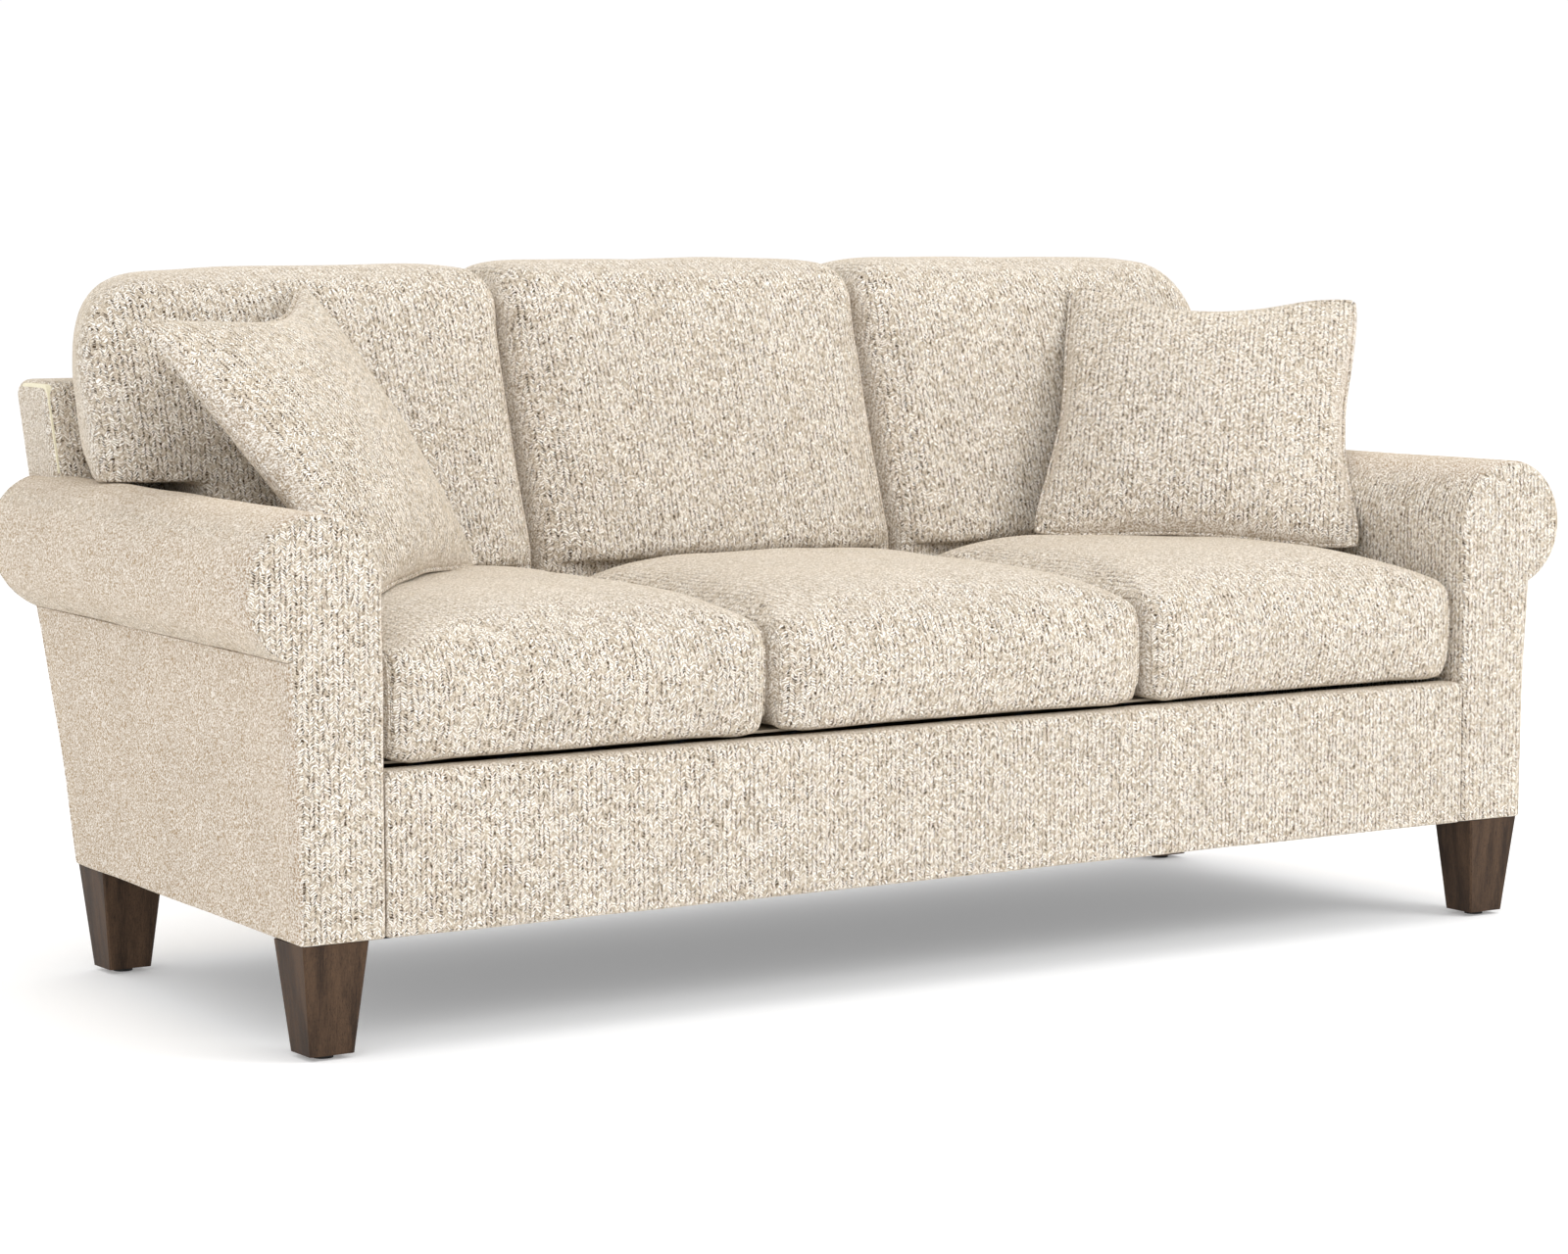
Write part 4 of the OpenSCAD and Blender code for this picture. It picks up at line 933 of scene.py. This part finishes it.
def seat_cushion(name, k):
    """A boxed seat cushion with a crowned top; k is -1, 0 or 1 from left to right."""
    inner = (MIDDLE_HALF + CUSHION_GAP / 2) if k else -(MIDDLE_HALF - CUSHION_GAP / 2)
    front = inner_half(SEAT_SETBACK) - CUSHION_GAP if k else -inner
    rear = inner_half(SEAT_REAR) - CUSHION_GAP if k else -inner
    corners = [(inner, SEAT_SETBACK, SEAT_CORNER), (front, SEAT_SETBACK, SEAT_CORNER),
               (rear, SEAT_REAR, SEAT_CORNER), (inner, SEAT_REAR, SEAT_CORNER)]
    mid_y = (SEAT_SETBACK + SEAT_REAR) / 2
    middle = Vector(((inner + rear) / 2, mid_y))
    half_w = (front - inner) / 2
    mirror = -1 if k < 0 else 1

    def shape(p, share, level):
        u, v = (p.x - middle.x) / half_w, (p.y - mid_y) / (SEAT_DEPTH / 2)
        dome = max(0, 1 - abs(u) ** 4) * max(0, 1 - abs(v) ** (10 if v > 0 else 4))
        lift = 0 if level < 0.85 else min(1, (level - 0.85) / 0.2)
        pull = SEAT_DRAW * max(0, 1 - level) * share
        x = p.x - math.copysign(1, u) * pull * max(0, 1 - v * v) * abs(u)
        y = p.y - (pull * (1 - min(1, u * u)) * v if v > 0 else 0)
        z = (FOOT_Z + SEAT_EDGE * min(level, 1) + SEAT_SHOULDER * max(0, level - 1)
             + SEAT_CROWN * dome * lift - front_hang(y) * max(0, 1 - level * 2))
        return Vector((mirror * x, FRONT_Y + y, z))

    obj = soft_form(name, outline(corners, 10, 24), middle, SEAT_RINGS, shape, 5)
    stuff(obj, cap=0.007)
    undulate(obj, amount=0.0022, size=0.10, seed=k + 21)

    def limit(co):
        y = co.y - FRONT_Y
        reach = inner_half(y) - CUSHION_GAP * 0.6
        if k:
            x = min(max(abs(co.x), inner - CUSHION_GAP * 0.3), reach) * mirror
        else:
            x = min(max(co.x, inner), -inner)
        return Vector((x, min(max(y, 0.001), SEAT_REAR + CUSHION_GAP * 0.3) + FRONT_Y,
                       max(co.z, FOOT_Z - front_hang(y))))

    hold(obj, limit)
    body = name.replace("_cushion", "")
    for plane_x, sign in ((inner, -1), (front, 1)):
        label = name + ("_inner_seam" if sign < 0 else "_outer_seam")
        edge = mirror * (plane_x - sign * SEAM_INSET)
        drawn = mirror * sign * math.tan(TOE_IN) if k and sign > 0 else 0
        side_seam(label, obj, edge, drawn, body)
    return fit_piece(obj, CLOTH_FRONT, body, [name])


# Back cushions

# Rings of a back cushion from its rear to its crown: share of its outline, and level
BACK_RINGS = [(0.30, 0), (0.92, 0), (0.97, 0.03), (0.99, 0.12), (1, 0.35), (1.001, 0.88),
              (0.99, 0.98), (0.955, 1.05), (0.875, 1.09), (0.70, 1.11), (0.50, 1.11), (0.25, 1.11)]
# Below this height a back cushion stays behind the seat cushions
SEAT_CONTACT_Z = DECK_TOP + SEAT_EDGE + 0.042
CUSHION_RISE = BACK_CUSHION_TOP - FOOT_Z
WING_Z = ARM_TOP + 0.0015 - FOOT_Z


def back_corners(k):
    """Corners of a back cushion from the front: width, height above its foot, and radius."""
    half = MIDDLE_HALF - CUSHION_GAP / 2
    small, top, wing_inner, wing_outer = 0.036, 0.050, 0.010, 0.016
    fuller = 0.014 if k < 0 else 0
    if k == 0:
        return [(-half, 0, small), (half, 0, small), (half, CUSHION_RISE, top),
                (-half, CUSHION_RISE, top)]
    inner = half + CUSHION_GAP
    low = inner_half(rear_y(ARM_TOP)) - CUSHION_GAP
    return [(inner, 0, small), (low, 0, small), (low, WING_Z, wing_inner),
            (BACK_CUSHION_HALF, WING_Z, wing_outer),
            (BACK_CUSHION_HALF, CUSHION_RISE, BACK_CUSHION_CORNER + fuller),
            (inner, CUSHION_RISE, top)]


def back_edge(v):
    """Level thickness of a back cushion's edge at a height above its foot."""
    return BACK_FOOT + (BACK_EDGE - BACK_FOOT) * smooth_step(0, 0.175, v)


# How much higher each back cushion's top lies at its inner and its outer end
TOP_SHIFT = {-1: (0.001, -0.010), 0: (0.003, 0.003), 1: (0.003, 0.001)}


def back_flare(share, w):
    """How far an outer cushion's side draws in at a share of its width and a level."""
    return BACK_CUSHION_FLARE * max(0, share) ** 2 * max(0, 1 - w / (BACK_EDGE * 0.9))


def back_cushion(name, k):
    """A loose back cushion: crowned, thinner at its foot, with wings over the arms."""
    corners = back_corners(k)
    x0 = corners[0][0]
    x1 = corners[1][0] if k == 0 else BACK_CUSHION_HALF
    middle = Vector((0 if k == 0 else (x0 + corners[1][0]) / 2, CUSHION_RISE * 0.52))
    mirror = -1 if k < 0 else 1

    def shape(p, _share, level):
        u = (p.x - (x0 + x1) / 2) / ((x1 - x0) / 2)
        v = 2 * p.y / CUSHION_RISE - 1
        dome = max(0, 1 - abs(u) ** 3) * max(0, 1 - abs(v) ** 3)
        lift = 0 if level < 0.9 else min(1, (level - 0.9) / 0.15)
        w = (SOFT_GAP * 1.2 + back_edge(p.y) * min(level, 1.10)
             + (BACK_CROWN - 0.015) * dome * lift)
        z = FOOT_Z + max(0, p.y)
        inner_end, outer_end = TOP_SHIFT[k]
        z += (inner_end + (outer_end - inner_end) * (1 + u) / 2) * (p.y / CUSHION_RISE) ** 3
        face = front_y(z) - w
        y = max(face, SEAT_REAR + CUSHION_GAP) if z < SEAT_CONTACT_Z else face
        x = p.x - back_flare((p.x - middle.x) / (x1 - middle.x), w) if k else p.x
        return Vector((mirror * x, FRONT_Y + y, z))

    obj = soft_form(name, outline(corners, 8, 20), middle, BACK_RINGS, shape, 5)
    stuff(obj, cap=0.006)
    undulate(obj, amount=0.0026, size=0.12, seed=k + 31)

    def limit(co):
        y = co.y - FRONT_Y
        z = max(co.z, FOOT_Z)
        y = min(y, front_y(z) - SOFT_GAP)
        if z < SEAT_CONTACT_Z:
            y = max(y, SEAT_REAR + CUSHION_GAP * 0.8)
        x = abs(co.x)
        if k:
            x = max(x, corners[0][0] - CUSHION_GAP * 0.3)
            if z < ARM_TOP + 0.001:
                x = min(x, inner_half(y) - CUSHION_GAP * 0.5)
        else:
            x = min(x, MIDDLE_HALF - CUSHION_GAP * 0.5)
        return Vector((math.copysign(x, co.x), FRONT_Y + y, z))

    hold(obj, limit)
    return fit_piece(obj, CLOTH_FRONT, name.replace("_cushion", ""), [name])


# Throw pillows

PILLOW_THICK = 0.130
PILLOW_LEAN_SHARE = 0.7
PILLOW_TURN = math.radians(40)
PILLOW_TILT = math.radians(37)
PILLOW_TWIST = math.radians(2.5)
PILLOW_RISE = DECK_TOP + SEAT_EDGE + SEAT_CROWN + PILLOW_SIDE / 2 * math.cos(PILLOW_TILT)
WELT_RADIUS = 0.0030
CORNER_ROUND = 0.004
PILLOW_STEPS = 64

# For each pillow: its distance from the arm and the seat's rear, how far it sinks, and for its
# left, right, bottom and top edges how far they draw in and where they do so most (-1 to 1)
PILLOWS = {
    "left": (-1, 0.154, 0.1454, 0.0014,
             ((0.010, 0.0), (0.016, 0.1), (0.012, 0.0), (0.034, 0.45))),
    "right": (1, 0.117, 0.155, 0.0046,
              ((0.013, -0.1), (0.017, -0.15), (0.010, 0.0), (0.031, -0.15))),
}

# How far each pillow's corners are pushed along its width, height and thickness, in millimetres:
# lower left, lower right, upper left, upper right
CORNER_PUSH = {
    "left": ((2, 14, 8), (-3, 11, -6), (-8, 4, -19), (8, 2, 25)),
    "right": ((-9, 9, 6), (7, 10, 6), (12, 4, 2), (-11, 0, 0)),
}


def draw_in(edge, t):
    """How far an edge is drawn in at t, from -1 to 1 along it."""
    amount, deepest = edge
    span = 1 - deepest if t > deepest else 1 + deepest
    away = abs(t - deepest) / span
    return amount * (math.cos(math.pi * min(1, away)) + 1) / 2 + 0.25 * amount * (1 - t * t)


def pillow_point(u, v, face, edges, pushes):
    """A point of a pillow's face (1 front, -1 rear) in its own plane; u and v run from -1 to 1."""
    left, right, bottom, top = edges
    half = PILLOW_SIDE / 2
    swell = max(0, 1 - u * u) * max(0, 1 - v * v)
    x = half * u - draw_in(right if u > 0 else left, v) * u * abs(u)
    y = half * v - draw_in(top if v > 0 else bottom, u) * v * abs(v)
    share = 1 if face > 0 else PILLOW_LEAN_SHARE
    point = Vector((x, y, face * share * (PILLOW_THICK / 2) * swell ** 0.5))
    for k, push in enumerate(pushes):
        near_x, near_y = (1 + u if k % 2 else 1 - u) / 2, (1 + v if k > 1 else 1 - v) / 2
        point += Vector(push) * 0.001 * (near_x * near_y) ** 1.4
    # The corners are sewn round
    round_off = CORNER_ROUND * (u * v) ** 10
    return point - Vector((math.copysign(round_off, u), math.copysign(round_off, v), 0))


def pillow_frame(side, from_arm, from_rear, sink):
    """Where a pillow leans, from its own plane to the sofa's frame."""
    place = Matrix.Translation((INNER_X - from_arm, FRONT_Y + SEAT_REAR - from_rear,
                                PILLOW_RISE - sink))
    turn = (Matrix.Rotation(-PILLOW_TURN, 4, "Z")
            @ Matrix.Rotation(math.pi / 2 - PILLOW_TILT, 4, "X")
            @ Matrix.Rotation(-PILLOW_TWIST, 4, "Z"))
    mirror = Matrix.Scale(side, 4, (1, 0, 0))
    return mirror @ place @ turn @ mirror


def throw_pillow(label):
    """A square pillow: two panels joined along a welt."""
    side, from_arm, from_rear, sink, edges = PILLOWS[label]
    n = PILLOW_STEPS
    points, faces, index = [], [], {}
    for face in (1, -1):
        for j in range(n + 1):
            for i in range(n + 1):
                rim = i in (0, n) or j in (0, n)
                if rim and face == -1:
                    index[face, i, j] = index[1, i, j]
                    continue
                index[face, i, j] = len(points)
                points.append(pillow_point(math.sin(math.pi * (i / n - 0.5)),
                                           math.sin(math.pi * (j / n - 0.5)), face, edges,
                                           CORNER_PUSH[label]))
    for face in (1, -1):
        for j in range(n):
            for i in range(n):
                quad = [index[face, i, j], index[face, i + 1, j], index[face, i + 1, j + 1],
                        index[face, i, j + 1]]
                faces.append(tuple(quad if face > 0 else reversed(quad)))
    name = label + "_throw_pillow"
    obj = new_object(name, points, faces)
    obj.data.shade_smooth()
    rim = ([index[1, i, 0] for i in range(n)] + [index[1, n, j] for j in range(n)]
           + [index[1, n - i, n] for i in range(n)] + [index[1, 0, n - j] for j in range(n)])
    undulate(obj, amount=0.0022, size=0.08, seed=side + 41)
    seam = [obj.data.vertices[i].co.copy() for i in rim]
    count = len(seam)
    outs = [(seam[(k + 1) % count] - seam[k - 1]).cross(Vector((0, 0, 1))).normalized()
            for k in range(count)]
    path = [spot + out * WELT_RADIUS * 0.6 for spot, out in zip(seam, outs)]
    welt = cord(name + "_welt", path, outs, WELT_RADIUS, True)
    frame_of = pillow_frame(side, from_arm, from_rear, sink)
    obj.matrix_world = frame_of
    welt.matrix_world = frame_of
    body = label + "_pillow"
    fit_piece(welt, CLOTH_PILLOW, body)
    return fit_piece(obj, CLOTH_PILLOW, body, [name])


# Studio

CAMERA_PLACE = (-3.101, -4.6685, 0.974)
CAMERA_YAW = math.radians(33.74)
CAMERA_PITCH = math.radians(-5.67)
CAMERA_LENS = 95.63
WORLD_LIGHT = 1.02
FLOOR_HALF = 14
FLOOR_SHADE, FLOOR_GLOW = 0.87, 0.235
# Each lamp's place, what it points at, its size and its power
LAMPS = {
    "key": ((3.3, -4.3, 3.3), (0, 0, 0.5), (2.4, 2.0), 103),
    "fill": ((-4.2, -3.6, 2.2), (0, 0, 0.6), (3.0, 2.4), 31),
    "top": ((0.2, -0.4, 4.2), (0, 0, 0.4), (4.0, 3.0), 32),
}


def add_camera():
    camera = bpy.data.cameras.new("camera")
    camera.lens = CAMERA_LENS
    camera.sensor_width = 36
    camera.clip_end = 60
    holder = bpy.data.objects.new("camera", camera)
    holder.location = CAMERA_PLACE
    holder.rotation_euler = (math.pi / 2 + CAMERA_PITCH, 0, -CAMERA_YAW)
    bpy.context.scene.collection.objects.link(holder)
    bpy.context.scene.camera = holder


def add_lamp(name, place, target, size, power):
    lamp = bpy.data.lights.new(name, "AREA")
    lamp.shape = "RECTANGLE"
    lamp.size, lamp.size_y = size
    lamp.energy = power
    holder = bpy.data.objects.new(name, lamp)
    holder.location = place
    aim = Vector(target) - Vector(place)
    holder.rotation_euler = aim.to_track_quat("-Z", "Y").to_euler()
    bpy.context.scene.collection.objects.link(holder)


def add_studio():
    """A pale floor, an even white surround and soft lamps."""
    scene = bpy.context.scene
    scene.view_settings.view_transform = "Standard"
    world = bpy.data.worlds.new("studio")
    world.use_nodes = True
    set_inputs(world.node_tree.nodes["Background"],
               {"Color": (1, 1, 1, 1), "Strength": WORLD_LIGHT})
    scene.world = world
    far = FLOOR_HALF
    floor = new_object("floor", [(-far, -far, 0), (far, -far, 0), (far, far, 0), (-far, far, 0)],
                       [(0, 1, 2, 3)])
    material, _, shader = new_material("pale_floor")
    set_inputs(shader, {"Base Color": (FLOOR_SHADE, FLOOR_SHADE, FLOOR_SHADE, 1),
                        "Emission Color": (1, 1, 1, 1), "Emission Strength": FLOOR_GLOW,
                        "Roughness": 1.0, "Specular IOR Level": 0.0})
    floor.data.materials.append(material)
    for name, lamp in LAMPS.items():
        add_lamp(name, *lamp)


# The sofa

finish_nodes()
for side in (-1, 1):
    arm_upholstery(side)
front_rail_band()
inside_back()
outside_back()
for k, label in zip((-1, 0, 1), ROW):
    seat_cushion(label + "_seat_cushion", k)
    back_cushion(label + "_back_cushion", k)
for label in PAIR:
    throw_pillow(label)
add_camera()
add_studio()
